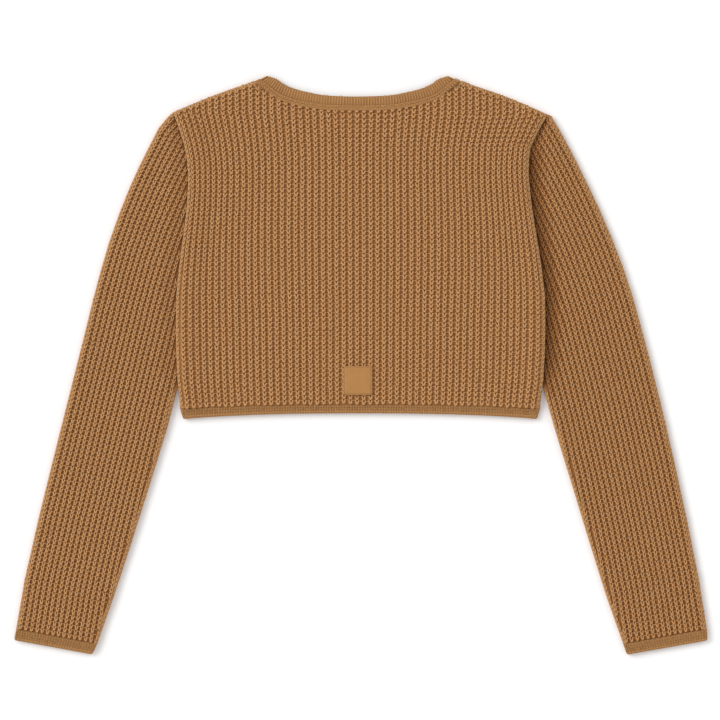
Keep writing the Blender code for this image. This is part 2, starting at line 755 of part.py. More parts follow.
class Sleeve:
    """One sleeve: a panel folded along its outer edge, its lips meeting inside."""

    def __init__(self, side, outline):
        self.side = side
        self.sign = -1.0 if side == "left" else 1.0
        column = 1 if side == "left" else 2
        self.outer = table_curve(SLEEVE_OUTER, column)
        self.lower_inner = table_curve(SLEEVE_INNER, column)
        self.body_edge = np.array(outline.column(0.0 if side == "left" else 1.0))
        slant = np.array(CUFF_SLANT[side])
        self.slant = slant / np.hypot(*slant)

    def inner(self, y):
        """Inner edge: beside the body down to the split, then the sleeve's own."""
        if y > SLEEVE_INNER[0][0]:
            beside = np.interp(y, self.body_edge[:, 1], self.body_edge[:, 0])
            return float(beside) + self.sign * BODY_CLEARANCE
        return float(self.lower_inner(y))

    def ring_line(self, y):
        """A ring's start on the outer edge, its direction inwards and its width."""
        start = np.array([float(self.outer(y)), y])
        above = min(y + EDGE_STEP, SLEEVE_OUTER[0][0])
        below = max(y - EDGE_STEP, SLEEVE_RINGS[-1])
        run = np.array([float(self.outer(above) - self.outer(below)), above - below])
        inwards = np.array([-self.sign * run[1], self.sign * run[0]]) / np.hypot(*run)
        turn = 1.0 - float(blend(SLEEVE_RINGS[-1], CUFF_TURN_START, y))
        inwards = inwards + turn * (self.slant - inwards)
        inwards /= np.hypot(*inwards)
        low, high = 0.0, SEARCH_WIDTH
        for _ in range(BISECTIONS):
            middle = 0.5 * (low + high)
            x, height = start + middle * inwards
            if (x - self.inner(height)) * self.sign > 0:
                low = middle
            else:
                high = middle
        return start, inwards, low

    def ring_ending_at(self, height):
        """Where on the outer edge the ring starts whose inner end is at a height."""
        low, high = height, min(height + RING_REACH, SLEEVE_OUTER[0][0])
        for _ in range(BISECTIONS):
            middle = 0.5 * (low + high)
            start, inwards, width = self.ring_line(middle)
            if (start + width * inwards)[1] < height:
                low = middle
            else:
                high = middle
        return low

    def ring_heights(self):
        """Heights on the outer edge of all the sleeve's rings, shoulder to cuff."""
        split = SLEEVE_INNER[0][0]
        tip = self.body_edge[-1, 1] - SLEEVE_TIP
        ends = [y for y in self.body_edge[::-1, 1] if split < y < tip]
        return [self.ring_ending_at(y) for y in [*ends, split]] + list(SLEEVE_RINGS)

    def cuff_line(self):
        """The line across the sleeve's end, left to right, a seam gap clear of it."""
        start, inwards, width = self.ring_line(SLEEVE_RINGS[-1])
        down = np.array([inwards[1], -inwards[0]])
        if down[1] > 0:
            down = -down
        ends = [start + SEAM_GAP * down, start + width * inwards + SEAM_GAP * down]
        return sorted(ends, key=lambda p: p[0])

    def columns(self, width, widest):
        """Distances from the folded edge of the upper face's columns, and their ribs."""
        shrink = min(1.0, width / FULL_WIDTH)
        lips = [width - c * shrink for c in SLEEVE_LIP_COLUMNS]
        folds = [c * shrink for c in SLEEVE_FOLD_COLUMNS]
        pitch = 0.5 * SLEEVE_RIB_PITCH
        count = int((widest - SLEEVE_FOLD_COLUMNS[0]) / pitch)
        ribs = [(SLEEVE_FOLD_COLUMNS[0] + k * pitch, float(k % 2))
                for k in range(count, 0, -1)]
        spread = []
        for distance, rib in ribs:
            kept = folds[0] < distance < lips[-1] - RIB_END_MARGIN
            spread.append((distance, rib) if kept else (None, 0.0))
        return [(c, 0.0) for c in lips] + spread + [(c, 0.0) for c in folds]

    def heights(self, a, width, opened, crown, lip_z, open_z):
        """Height of a face between its folded edge and its lip."""
        reach = min(EDGE_ROLL, width / ROLL_LIMIT)
        fold = FOLD_Z + (crown - FOLD_Z) * roll(a / reach)
        edge = lip_z + (open_z - lip_z) * opened
        lip = edge + (crown - edge) * roll((width - a) / reach)
        if crown > FOLD_Z:
            return float(min(fold, lip))
        return float(max(fold, lip))

    def build(self):
        """Make the sleeve's solid."""
        lines = [self.ring_line(y) for y in self.ring_heights()]
        widest = max(width for _, _, width in lines)
        solid = Solid()
        outer, inner = [], []
        for start, inwards, width in lines:
            end_y = (start + width * inwards)[1]
            opened = float(armhole_share(end_y))
            outer.append(self.outer_ring(solid, start, inwards, width, widest, opened))
            inner.append(self.inner_ring(solid, start, inwards, width, opened))
        solid.sheet(outer)
        solid.sheet(inner)
        solid.bridge([r[0] for r in outer], [r[0] for r in inner])
        solid.bridge([r[-1] for r in outer], [r[-1] for r in inner])
        for k in (0, -1):
            solid.bridge(outer[k], inner[k])
        return solid.build("sleeve_" + self.side, YARN, KNIT_ROUGHNESS)

    def outer_ring(self, solid, start, inwards, width, widest, opened):
        """The outer face of one ring, upper lip to lower lip round the folded edge."""
        numbers = []
        above = FOLD_Z + SEAM_GAP / 2
        below = FOLD_Z - SEAM_GAP / 2
        shrink = min(1.0, width / FULL_WIDTH)
        for a, rib in self.columns(width, widest):
            if a is None:
                numbers.append(None)
                continue
            crown = SLEEVE_BASE + RIB_HEIGHT * rib * shrink
            z = self.heights(a, width, opened, crown, above, SLEEVE_ARMHOLE_Z)
            numbers += solid.add([(*(start + a * inwards), z)])
        numbers += solid.add([(*start, FOLD_Z)])
        rounded = [c * shrink for c in reversed(SLEEVE_FOLD_COLUMNS)]
        lips = [width - c * shrink for c in SLEEVE_UNDER_LIPS]
        flat = list(np.linspace(rounded[-1], lips[0], SLEEVE_FLAT_COLUMNS))[1:]
        for a in rounded + flat + lips[1:]:
            z = self.heights(a, width, opened, 0.0, below, FRONT_ARMHOLE_Z)
            numbers += solid.add([(*(start + a * inwards), z)])
        return fill_gaps(numbers)

    def inner_ring(self, solid, start, inwards, width, opened):
        """The inner face of one ring, upper lip to lower lip."""
        shrink = min(1.0, width / FULL_WIDTH)
        lip = LIP * shrink
        reach = width - lip - lip * (1.0 - opened)
        above = FOLD_Z + SEAM_GAP / 2
        below = FOLD_Z - SEAM_GAP / 2
        points = []
        for spot in SLEEVE_SPOTS:
            z = self.heights(spot * reach, reach, opened, SLEEVE_UNDER, above, BACK_UNDER)
            points.append((spot, z))
        points.append((0.0, FOLD_Z))
        for spot in reversed(SLEEVE_SPOTS):
            z = self.heights(spot * reach, reach, opened, SLEEVE_FLOOR, below, FRONT_WALL)
            points.append((spot, z))
        return solid.add([(*(start + (lip + spot * reach) * inwards), z)
                          for spot, z in points])


def fill_gaps(numbers):
    """Give each missing column the number of the next one that is there."""
    filled = list(numbers)
    for k in range(len(filled) - 1, -1, -1):
        if filled[k] is None:
            filled[k] = filled[k + 1]
    return filled


# ------------------------------------------------------------------ patch

def rounded_square(side, corner):
    """Outline of a square with rounded corners, about its own centre."""
    points = []
    half = side / 2 - corner
    for quarter in range(4):
        turn = math.radians(90.0 * quarter)
        cx = half * (1 if quarter in (0, 3) else -1)
        cy = half * (1 if quarter in (0, 1) else -1)
        for k in range(PATCH_CORNER_STEPS):
            angle = turn + math.radians(90.0 * k / (PATCH_CORNER_STEPS - 1))
            points.append((cx + corner * math.cos(angle), cy + corner * math.sin(angle)))
    return points


def make_patch(outline):
    """The leather patch, laid on the back's rib tops, with a pressed border line."""
    rest = back_top(outline, [PATCH_CENTRE], 1.0)[0] + PATCH_LIFT
    solid = Solid()
    rings = []
    for inset, height in PATCH_RINGS:
        corner = PATCH_CORNER - PATCH_CORNER_SHRINK * inset
        ring = rounded_square(PATCH_SIDE - 2 * inset, corner)
        rings.append(solid.add([(PATCH_CENTRE[0] + x, PATCH_CENTRE[1] + y, rest + height)
                                for x, y in ring]))
    solid.sheet(rings, closed=True)
    solid.face(*rings[0])
    solid.face(*rings[-1])
    return solid.build("label_patch", LEATHER, LEATHER_ROUGHNESS)


# ------------------------------------------------------------------ assembly

def centre_on_box(objects):
    """Move every mesh so that the garment's box stands centred on the origin."""
    corners = np.array([v.co[:] for o in objects for v in o.data.vertices])
    low, high = corners.min(axis=0), corners.max(axis=0)
    shift = np.array([0.5 * (low[0] + high[0]), 0.5 * (low[1] + high[1]), low[2]])
    for obj in objects:
        for vertex in obj.data.vertices:
            vertex.co = [c - s for c, s in zip(vertex.co, shift)]


def main():
    """Build the garment."""
    for obj in list(bpy.data.objects):
        bpy.data.objects.remove(obj, do_unlink=True)
    back_outline = Outline(back_neck_seam())
    front_outline = Outline(front_neck_seam())
    left, right = Sleeve("left", back_outline), Sleeve("right", back_outline)
    pieces = [
        make_back(back_outline),
        make_front(front_outline),
        left.build(),
        right.build(),
        make_neckband(),
        make_hem_band(),
        make_cuff("cuff_left", left.cuff_line(), CUFF_SWEEP["left"]),
        make_cuff("cuff_right", right.cuff_line(), CUFF_SWEEP["right"]),
        make_patch(back_outline),
    ]
    centre_on_box(pieces)


main()
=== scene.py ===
"""Stitches, bands, patch and studio of a cropped knit pullover that lies with its back up.

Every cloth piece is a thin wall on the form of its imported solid.  The chunky stitches
are loops of yarn set on the walls, wale by wale and row by row.
"""
import math

import bmesh
import bpy
import numpy as np
from mathutils import Matrix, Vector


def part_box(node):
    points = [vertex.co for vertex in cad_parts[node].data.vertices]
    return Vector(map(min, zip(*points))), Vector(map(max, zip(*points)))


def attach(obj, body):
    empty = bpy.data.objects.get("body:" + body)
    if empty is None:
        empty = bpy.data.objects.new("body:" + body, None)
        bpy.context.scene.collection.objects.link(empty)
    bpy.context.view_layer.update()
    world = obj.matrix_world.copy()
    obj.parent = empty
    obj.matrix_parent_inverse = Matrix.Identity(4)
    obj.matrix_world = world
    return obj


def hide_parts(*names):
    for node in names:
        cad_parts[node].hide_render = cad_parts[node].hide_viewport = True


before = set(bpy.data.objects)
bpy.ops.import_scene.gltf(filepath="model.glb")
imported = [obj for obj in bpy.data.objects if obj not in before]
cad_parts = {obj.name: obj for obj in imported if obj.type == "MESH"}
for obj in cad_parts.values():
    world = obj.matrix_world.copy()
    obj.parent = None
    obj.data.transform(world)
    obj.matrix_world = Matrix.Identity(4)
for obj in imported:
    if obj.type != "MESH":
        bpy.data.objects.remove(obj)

bl_info = {
    "name": "Cropped knit pullover",
    "version": (1, 0, 0),
    "blender": (4, 5, 0),
    "location": "View3D > Sidebar > Pullover",
    "description": "Knits the stitches, bands and patch of a cropped pullover laid out flat",
    "category": "Add Mesh",
}

MM = 0.001

# ------------------------------------------------------------------ sizes, millimetres

FOLD_Z = 4.4            # height at which the front and back layers meet
LIP_Z = FOLD_Z + 0.1    # height of the back's rim
BACK_Z = 7.0            # the back's surface under its stitches
BACK_WALL = 2.2         # thickness of the back's cloth
EDGE_ROLL = 12.0        # width over which a closed edge rounds down
SIDE_ROLL = 3.6         # the same for the body's sides, which roll over more sharply
SIDE_PUFF = 2.1         # extra height of the rounded body side
PUFF_INSET = 13.0       # how far in from the side that is
LINKED_Z = 6.6          # surface of a panel where a band is linked to it
LINKED_ROLL = 4.0       # width over which it sinks to that
WALL_INSET = 2.5        # the inner face of a wall stays this far inside its edge
LINK_TUCK = 1.1         # how far a wall's edge tucks under the band linked to it
NECK_HALF = 98.0        # the neck's edge stands up this far to each side of the middle
NECK_LINK = 118.0       # and the neckband's end is linked this far

CHEST_Y = 48.0          # the wales are evenly spaced at this height
WALE_FAN = 4            # how fast the fanning of the wales fades away from the sides
WALE_CROWD = 0.055      # how much the wales crowd at the armholes
CROWD_HEIGHTS = (30.0, 180.0)       # where the crowding starts and is full
CROWD_POWER = 5         # how close to the sides they crowd
SIDE_STRIP = 5.0        # strip between the outermost wale and the side
TOP_SEARCH = (150.0, 330.0)     # heights between which a column's top end is sought
SMOOTH_STRIP = 3.7      # width of the smooth roll along the body's sides
ROLL_INSET = 2.4        # centre of the flat column on that roll
ROLL_WALE = 4.8         # width of that column
ROLL_SINK = 0.9         # how deep its stitches are sunk
FOLD_SINK = 0.5         # the same at a sleeve's folded edges
# Painted highlight: the body's rolled edges are painted lighter, as where the light catches
# them.
ROLL_PAINTED_LIGHT = 0.34        # how much lighter the body's are
FIRST_ROW = 0.52        # the back's first row over its hem, in rows
SHOULDER_MARGIN = 0.86  # its last one under the shoulder, in rows
NECK_MARGIN = 0.12      # and under the neck
SEAM_STEEPNESS = -0.45  # how steeply the stitches on the shoulder seams' ends run
BACK_ROWS = 80          # rows of a wale, at most
ENDING_ROWS = 8         # the last rows of a wale give way so that it ends at its edge
WALE_SHIFT = 0.25       # how much a wale is shifted up or down
# How much its rows wander, over what length, and its phase from wale to wale
WANDER, WANDER_LENGTH, WANDER_PHASE = 0.35, 31.0, 0.9
COURSE_FADE = 150.0     # the courses follow the hem's curve up to this far above it

SLEEVE_Z = 6.5          # a sleeve's surface under its stitches
SLEEVE_DIP = 20.0       # width over which it dips beside the body
SLEEVE_SINK = {"left": 1.4, "right": 2.4}       # how much lower its edge lies there
SLEEVE_PRESS = 0.3      # how much flatter its stitches are there
SLEEVE_TUCK = 1.3       # how far its edge tucks under the body's side
SPLIT_Y = -24.0         # above this a sleeve lies against the body
SPLIT_SPAN = 60.0       # height over which its form changes there
SLEEVE_TONE = {"left": -0.03, "right": -0.13}   # tone of its yarn against the back's
# Painted shadow: a sleeve's yarn is painted darker beside the body, most on the right sleeve,
# where the body's edge shades it; above SHADE_TOP this painted shadow fades.
SLEEVE_SHADE = {"left": -0.12, "right": -1.0}   # what is added to it beside the body
SHADE_TOP = 215.0       # above this the deeper tone beside the body fades
SHADE_FADE = 0.75       # by this much
SLEEVE_FIRST_WALE = 4.9         # the first wale's distance from the folded edge
SLEEVE_FIRST_ROW = 0.48         # the first row over the cuff, in rows
SLEEVE_MARGIN = 0.60    # the last wale's distance from the inner edge, in wales
BESIDE_MARGIN = 0.12    # the same where that edge lies against the body
BAR_MARGIN = 1.36       # and for a strand that runs towards that edge
SLEEVE_WALES = 26       # at most
SLEEVE_LEAN = 0.96      # a distance across a sleeve, as a share of the same one along x
SLEEVE_WALL = 1.9       # thickness of its upper layer's cloth
SLEEVE_INSET = 2.0      # the inner face of a sleeve's wall stays this far inside its edge
SLIM = 60.0             # where a sleeve is slimmer than this, its edges' steps shrink with it
SLEEVE_GIRTH = 245.0    # flat width at the upper arm
FOLD_STRIP = 1.8        # width of the smooth roll along its edges
BODY_WIDTH = 416.0      # flat width of a body panel

# Distances from an edge at which a wall has rows or columns of points
EDGE_STEPS = (0.0, 0.4, 1.1, 2.2, 3.8, 6.0, 9.0, 12.5)
PANEL_COLUMNS = 74
PANEL_ROWS = 60
SLEEVE_RINGS = 90
SLEEVE_COLUMNS = 28

# Back neck, centre to side, x from the neck's centre line: linked edge and free edge.
# linked x, linked y, free x, free y
NECK_ROWS = (
    (0.0, 280.5, 0.0, 296.5),
    (20.0, 280.8, 19.4, 296.9),
    (40.8, 281.8, 39.0, 298.3),
    (54.8, 283.8, 51.7, 300.7),
    (72.4, 287.5, 67.1, 304.4),
    (90.1, 294.5, 81.9, 310.4),
    (98.9, 301.4, 88.6, 315.4),
    (112.2, 312.2, 96.9, 319.8),
)
NECK_X = -3.3           # the neck's own centre line
NECK_CORNER = 10.0      # radius of the neckband's upper corners
NECK_SURFACE = 6.9      # height of the neckband's upper face
NECK_FLAT = (530.0, 16.5)       # the neckband's flat size
PATCH_CENTRE = (-3.0, -15.9)    # where the patch's centre lies from that table's origin

# Soft troughs and ridges: start x, start y, end x, end y, width, height at the middle
CREASES = (
    (-150.0, 262.0, -96.0, 292.0, 15.0, -0.7),
    (92.0, 290.0, 168.0, 252.0, 17.0, -0.8),
    (-172.0, 196.0, -128.0, 60.0, 15.0, -0.5),
    (-60.0, 170.0, -104.0, 20.0, 24.0, 0.4),
    (40.0, 222.0, 74.0, 96.0, 26.0, 0.35),
    (176.0, 178.0, 148.0, 40.0, 15.0, -0.45),
    (-120.0, -8.0, 36.0, -26.0, 13.0, -0.35),
    (84.0, -22.0, 176.0, -6.0, 12.0, -0.4),
    (-232.0, 214.0, -252.0, 120.0, 13.0, 0.6),
    (-262.0, 96.0, -318.0, -112.0, 12.0, -0.8),
    (-236.0, 44.0, -262.0, -60.0, 14.0, 0.6),
    (-338.0, -130.0, -352.0, -206.0, 11.0, -0.7),
    (-290.0, -150.0, -322.0, -262.0, 13.0, 0.6),
    (236.0, 196.0, 262.0, 116.0, 12.0, -0.7),
    (266.0, 92.0, 300.0, -24.0, 14.0, 0.6),
    (238.0, 10.0, 262.0, -86.0, 12.0, -0.6),
    (318.0, -60.0, 340.0, -170.0, 13.0, 0.6),
    (288.0, -142.0, 306.0, -236.0, 12.0, -0.7),
    (336.0, -214.0, 350.0, -270.0, 11.0, 0.5),
)

# ------------------------------------------------------------------ yarn paths

# A knit stitch: a U of yarn whose arms end under the next stitch of their wale.
# x, y, height over the wall, share of the yarn's thickness; the right half mirrors it
KNIT_HALF = (
    (-1.30, 3.60, 0.95, 0.80),
    (-1.76, 2.05, 1.40, 0.98),
    (-1.12, 0.15, 1.62, 1.05),
    (-0.72, -1.50, 1.82, 1.06),
)
# The sleeves' stitches are a little slimmer.
SLEEVE_HALF = (
    (-1.15, 3.60, 0.95, 0.82),
    (-1.57, 2.05, 1.40, 0.92),
    (-1.20, 0.15, 1.62, 1.00),
    (-0.74, -1.50, 1.80, 1.03),
)
KNIT_CELL = (7.4, 5.06)         # width and height of the cell that it is drawn for
# The strand that leaves a stitch sideways for the next wale, half a cell to the right.
BAR_HALF = (
    (-2.10, -0.20, 1.45, 0.90),
    (-1.20, 0.15, 1.25, 0.85),
    (-0.40, 0.30, 1.10, 0.80),
)
BAR_RISE = 1.55         # how far up the cell that strand lies
BAR_TONE = -0.05        # its tone against the stitches'
BAR_SECTION = (0.66, 0.8)       # width and height, as shares of the yarn's
# Painted shade: between these heights the yarn's colour goes from its deep end to its light
# end.
PAINTED_SHADE_HEIGHTS = (-0.4, 2.8)        # heights between which the yarn lightens
# A rib of the neckband, over its free edge.
# x, y, height, share of the thickness
RIB_PATH = (
    (0.0, 0.0, 0.00, 0.80),
    (0.0, 1.4, 0.45, 1.00),
    (0.0, 5.0, 0.50, 1.00),
    (0.0, 8.2, 0.30, 1.00),
    (0.0, 9.5, -0.45, 0.95),
    (0.0, 9.8, -1.50, 0.90),
    (0.0, 9.5, -2.60, 0.60),
)
RIB_LENGTH = 10.1       # its length, with the bend over the edge
CORNER_RIBS = (0.80, 0.88, 0.94, 0.98)      # lengths of the ribs at the rounded corners
RIB_START = 0.36        # where the ribs start, as a share of the band's width
BEAD_SHARES = (0.12, 0.29)      # the two chains that link the band
BEAD_TONE = 0.30                # how much lighter they are
BEAD_SIZE = (0.55, 0.62, 0.7)   # their stitches, as shares of the back's
BEAD_HEIGHTS = (0.55, 0.35)     # how far they stand over the band
BEAD_PITCH = 0.93               # their stitches' distance, in ribs
RIB_TONE = 0.40                 # how much lighter the ribs are
EDGE_TONE = 0.45                # how much lighter a fine band's last row is
EDGE_DROP = 0.3                 # how much lower that row lies
FINE_SINK = 0.35                # how deep the fine stitches are sunk
FINE_LOFT = 0.32                # how far they stand up, as a share of the back's
FINE_ENDS = 0.9                 # bare length at each end of a fine band
BAND_INSET = 0.7                # how far their rows keep from the band's edges
BAND_BEND = 1.2                 # what the bends at its edges add to a fine band's depth
BAND_DEPTH = 0.0102             # its least depth, in metres
# Directions of a right cuff's corners: upper outer and inner, lower outer and inner
CUFF_CORNERS = ((1.0, 0.75), (-1.0, 0.9), (1.0, -2.2), (-0.6, -1.0))
# Widths and heights of the yarn of the rolls, the chains, the fine bands and the ribs
ROLL_YARN, BEAD_YARN, FINE_YARN, RIB_HEIGHT = (2.9, 1.9), (3.1, 2.2), (3.2, 2.2), 1.7
# How much the shade differs from stitch to stitch
KNIT_SPREAD, ROLL_SPREAD, BAND_SPREAD = 0.10, 0.08, 0.12
# How much the chunky stitches differ: turn, shift in millimetres, loft; and the fine ones
SWAY, SCATTER, LOFT_SPREAD, FINE_DIFFERENCE = 0.08, 0.16, 0.06, 0.03

# Rings of the patch from the rim of its underside inwards: inset, height, pressed share
PATCH_RINGS = (
    (0.7, 0.0, 0.0), (0.25, 0.05, 0.0), (0.0, 0.35, 0.0), (0.0, 0.95, 0.0),
    (0.2, 1.3, 0.0), (0.6, 1.45, 0.0), (0.95, 1.45, 0.2), (1.15, 1.22, 1.0),
    (1.45, 1.2, 1.0), (1.65, 1.42, 0.2), (2.1, 1.5, 0.0), (4.0, 1.52, 0.0),
    (8.0, 1.55, 0.0), (12.0, 1.56, 0.0),
)
PATCH_CORNER = 3.2      # radius of its corners
CORNER_STEPS = 8        # points round each of them

VIEW_CENTRE = (-0.96, 5.22, 8.0)        # what the camera looks straight down at
SENSOR = 36.0           # width of the camera's sensor
FLOOR_HALF = 6000.0     # half of the floor's side


# ------------------------------------------------------------------ curves

def smooth_through(xs, ys):
    """A smooth curve through a table's points, as a function of its first column."""
    xs, ys = np.asarray(xs, float), np.asarray(ys, float)
    slopes = np.gradient(ys, xs)

    def at(x):
        x = np.clip(np.asarray(x, float), xs[0], xs[-1])
        i = np.clip(np.searchsorted(xs, x, side="right") - 1, 0, len(xs) - 2)
        step = xs[i + 1] - xs[i]
        t = (x - xs[i]) / step
        rise = ys[i + 1] - ys[i]
        bend = (slopes[i] + slopes[i + 1]) * step - 2 * rise
        lean = 3 * rise - (2 * slopes[i] + slopes[i + 1]) * step
        return ys[i] + t * (slopes[i] * step + t * (lean + t * bend))

    return at


def along(points):
    """Length along a polyline at each of its points."""
    steps = np.linalg.norm(np.diff(points, axis=0), axis=1)
    return np.concatenate([[0.0], np.cumsum(steps)])


def walk(points, spots):
    """Points at given lengths along a polyline."""
    lengths = along(points)
    return np.column_stack([np.interp(spots, lengths, column) for column in points.T])


def roll(t):
    """Rise of a rounded edge: 0 at the edge, 1 from t = 1 on."""
    t = np.clip(t, 0.0, 1.0)
    return np.sqrt(1.0 - (1.0 - t) ** 2)


def ease(t):
    """0 below t = 0, 1 above t = 1, smooth between them."""
    t = np.clip(t, 0.0, 1.0)
    return t * t * (3.0 - 2.0 * t)


def creases(x, y):
    """Height that the soft troughs and ridges add."""
    total = np.zeros_like(x)
    for x0, y0, x1, y1, width, height in CREASES:
        run = np.array([x1 - x0, y1 - y0])
        length = np.hypot(*run)
        t = ((x - x0) * run[0] + (y - y0) * run[1]) / length ** 2
        off = ((x - x0) * run[1] - (y - y0) * run[0]) / length
        ends = np.exp(-4.0 * (np.clip(np.abs(t - 0.5) - 0.2, 0.0, None)) ** 2 / 0.09)
        total += height * ends * np.exp(-(off / width) ** 2)
    return total


# ------------------------------------------------------------------ outlines

class Plan:
    """A node's outline seen from above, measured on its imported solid, in millimetres."""

    def __init__(self, node):
        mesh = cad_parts[node].data
        self.points = mesh_points(mesh)
        ends = np.empty(len(mesh.edges) * 2, np.int32)
        mesh.edges.foreach_get("vertices", ends)
        self.a, self.b = self.points[ends.reshape(-1, 2).T]

    def reach(self, axis, at):
        """Lowest and highest place on the other axis of the line where axis = at."""
        a, b = self.a[:, axis] - at, self.b[:, axis] - at
        hit = a * b < 0
        share = a[hit] / (a[hit] - b[hit])
        start, end = self.a[hit, 1 - axis], self.b[hit, 1 - axis]
        places = start + share * (end - start)
        return places.min(), places.max()

    def edge(self, axis, spots, side):
        """One side's places along a run of spots on an axis."""
        return np.array([self.reach(axis, spot)[side] for spot in spots])


def corner(points, direction):
    """The point that reaches furthest in a direction in the plane."""
    return points[(points[:, :2] @ np.asarray(direction, float)).argmax(), :2]


class Panel:
    """A body panel in plan: its columns run from the hem to its top edge."""

    def __init__(self, node):
        plan = Plan(node)
        self.tips = [corner(plan.points, (s, 0.0)) for s in (-1, 1)]
        self.feet = [corner(plan.points, (0.3 * s, -1.0)) for s in (-1, 1)]
        self.sides = []
        for side, (tip, foot) in enumerate(zip(self.tips, self.feet)):
            ys = np.linspace(foot[1] + 1.0, tip[1] - 0.5, 120)
            xs = plan.edge(1, ys, side)
            self.sides.append((np.append(ys, tip[1]), np.append(xs, tip[0])))
        xs = np.linspace(self.tips[0][0] + 0.5, self.tips[1][0] - 0.5, 260)
        tuck = LINK_TUCK * ease((NECK_LINK - np.abs(xs - NECK_X)) / 2.0)
        ys = plan.edge(0, xs, 1)
        self.top_edge = (xs, ys + tuck * np.hypot(1.0, np.gradient(ys, xs)).clip(1.0, 1.6))
        xs = np.linspace(self.feet[0][0] + 2.0, self.feet[1][0] - 2.0, 120)
        ys = plan.edge(0, xs, 0)
        self.hem_edge = (np.r_[self.feet[0][0], xs, self.feet[1][0]],
                         np.r_[self.feet[0][1], ys, self.feet[1][1]] - LINK_TUCK)
        self.chest = [float(self.side(s, CHEST_Y)) for s in (0, 1)]
        self.width = self.chest[1] - self.chest[0]

    def side(self, side, y):
        """Place of the left (0) or right (1) side at a height."""
        return np.interp(y, *self.sides[side])

    def top(self, x):
        """Height of the top edge."""
        return np.interp(x, *self.top_edge)

    def hem(self, x):
        """Height of the hem."""
        return np.interp(x, *self.hem_edge)

    def x_at(self, u, y):
        """Where the column u (0 at the left side, 1 at the right) lies at a height."""
        v = 2.0 * u - 1.0
        start, full = CROWD_HEIGHTS
        crowd = WALE_CROWD * ease((y - start) / (full - start))
        even = self.chest[0] + 0.5 * self.width * (1.0 + v + crowd * (v - v ** CROWD_POWER))
        left = (self.side(0, y) - self.chest[0]) * (1.0 - u) ** WALE_FAN
        right = (self.side(1, y) - self.chest[1]) * u ** WALE_FAN
        return even + left + right

    def ends(self, u):
        """Heights of a column's lower and upper ends."""
        bottom = np.full_like(u, self.feet[0][1])
        for _ in range(6):
            bottom = self.hem(self.x_at(u, bottom))
        low, high = (np.full_like(u, y) for y in TOP_SEARCH)
        for _ in range(40):
            middle = 0.5 * (low + high)
            inside = self.top(self.x_at(u, middle)) > middle
            low, high = np.where(inside, middle, low), np.where(inside, high, middle)
        return bottom, low

    def flat(self):
        """The panel's width and length, cut flat, in metres."""
        return BODY_WIDTH * MM, (self.top_edge[1].max() - self.feet[0][1]) * MM

    def area(self):
        """Flat area of the panel, in square metres."""
        xs = self.top_edge[0]
        inside = (xs > self.feet[0][0]) & (xs < self.feet[1][0])
        heights = self.top(xs[inside]) - self.hem(xs[inside])
        return float(np.trapz(heights, xs[inside])) * MM * MM

    def grid(self, inset=0.0):
        """Plan points of a grid over the panel, dense at its edges: rows, columns, 2."""
        us = edge_spaced(self.width, inset, PANEL_COLUMNS) / self.width
        bottom, top = self.ends(us)
        rows = [edge_spaced(t - b, inset, PANEL_ROWS) + b for b, t in zip(bottom, top)]
        ys = np.array(rows).T
        return np.stack([self.x_at(us[None, :], ys), ys], axis=-1)

    def depths(self, x, y):
        """Distances to the nearest side, to the top edge and to the hem."""
        sides = np.minimum(x - self.side(0, y), self.side(1, y) - x)
        slope = np.gradient(self.top_edge[1], self.top_edge[0])
        lean = np.hypot(1.0, np.interp(x, self.top_edge[0], slope))
        return sides, (self.top(x) - y) / lean, y - self.hem(x)


def edge_spaced(length, inset, count, shrink=1.0):
    """Spots along a length: dense near both ends, even between them."""
    near = shrink * (inset + np.array(EDGE_STEPS))
    far = length - near[::-1]
    between = np.linspace(near[-1], far[0], count - 2 * len(near) + 2)[1:-1]
    return np.concatenate([near, between, far])


# ------------------------------------------------------------------ meshes

def new_object(name, data):
    """An object at the origin, in the scene."""
    obj = bpy.data.objects.new(name, data)
    bpy.context.scene.collection.objects.link(obj)
    return obj


def keep(mesh, name, values):
    """Keep a number on each of a mesh's points, for its finish to read."""
    layer = mesh.attributes.new(name, "FLOAT", "POINT")
    layer.data.foreach_set("value", np.asarray(values, np.float32))


def mesh_points(mesh):
    """A mesh's points, in millimetres."""
    flat = np.empty(len(mesh.vertices) * 3, np.float32)
    mesh.vertices.foreach_get("co", flat)
    return flat.reshape(-1, 3).astype(float) / MM


def weld(mesh, distance, outwards=False):
    """Merge a mesh's doubled points, and turn its faces outwards if asked; shade it rounded."""
    bm = bmesh.new()
    bm.from_mesh(mesh)
    bmesh.ops.remove_doubles(bm, verts=bm.verts[:], dist=distance)
    if outwards:
        bmesh.ops.recalc_face_normals(bm, faces=bm.faces[:])
    bm.to_mesh(mesh)
    bm.free()
    mesh.shade_smooth()


def close_tube(name, bm, rings):
    """A rounded mesh of a tube of points whose sides are there: its two ends are added."""
    bm.faces.new(rings[0])
    bm.faces.new(rings[-1])
    bmesh.ops.recalc_face_normals(bm, faces=bm.faces[:])
    mesh = bpy.data.meshes.new(name)
    bm.to_mesh(mesh)
    bm.free()
    mesh.shade_smooth()
    return mesh


def wall_mesh(name, outer, inner, tube=False):
    """A cloth wall's closed mesh between two grids of points, in millimetres.

    A tube's last column joins its first one.
    """
    rows, columns, _ = outer.shape
    points = np.concatenate([outer.reshape(-1, 3), inner.reshape(-1, 3)]) * MM
    number = np.arange(rows * columns).reshape(rows, columns)
    if tube:
        number = np.hstack([number, number[:, :1]])
    below = rows * columns
    faces = []
    for base in (0, below):
        grid = number + base
        corners = (grid[:-1, :-1], grid[:-1, 1:], grid[1:, 1:], grid[1:, :-1])
        faces.append(np.stack(corners, axis=-1).reshape(-1, 4))
    rims = [number[0], number[-1]]
    if not tube:
        rims += [number[:, 0], number[:, -1]]
    for line in rims:
        corners = (line[:-1], line[1:], line[1:] + below, line[:-1] + below)
        faces.append(np.stack(corners, axis=-1))
    mesh = bpy.data.meshes.new(name)
    mesh.from_pydata(points.tolist(), [], np.concatenate(faces).tolist())
    weld(mesh, 1e-6, outwards=True)
    return mesh


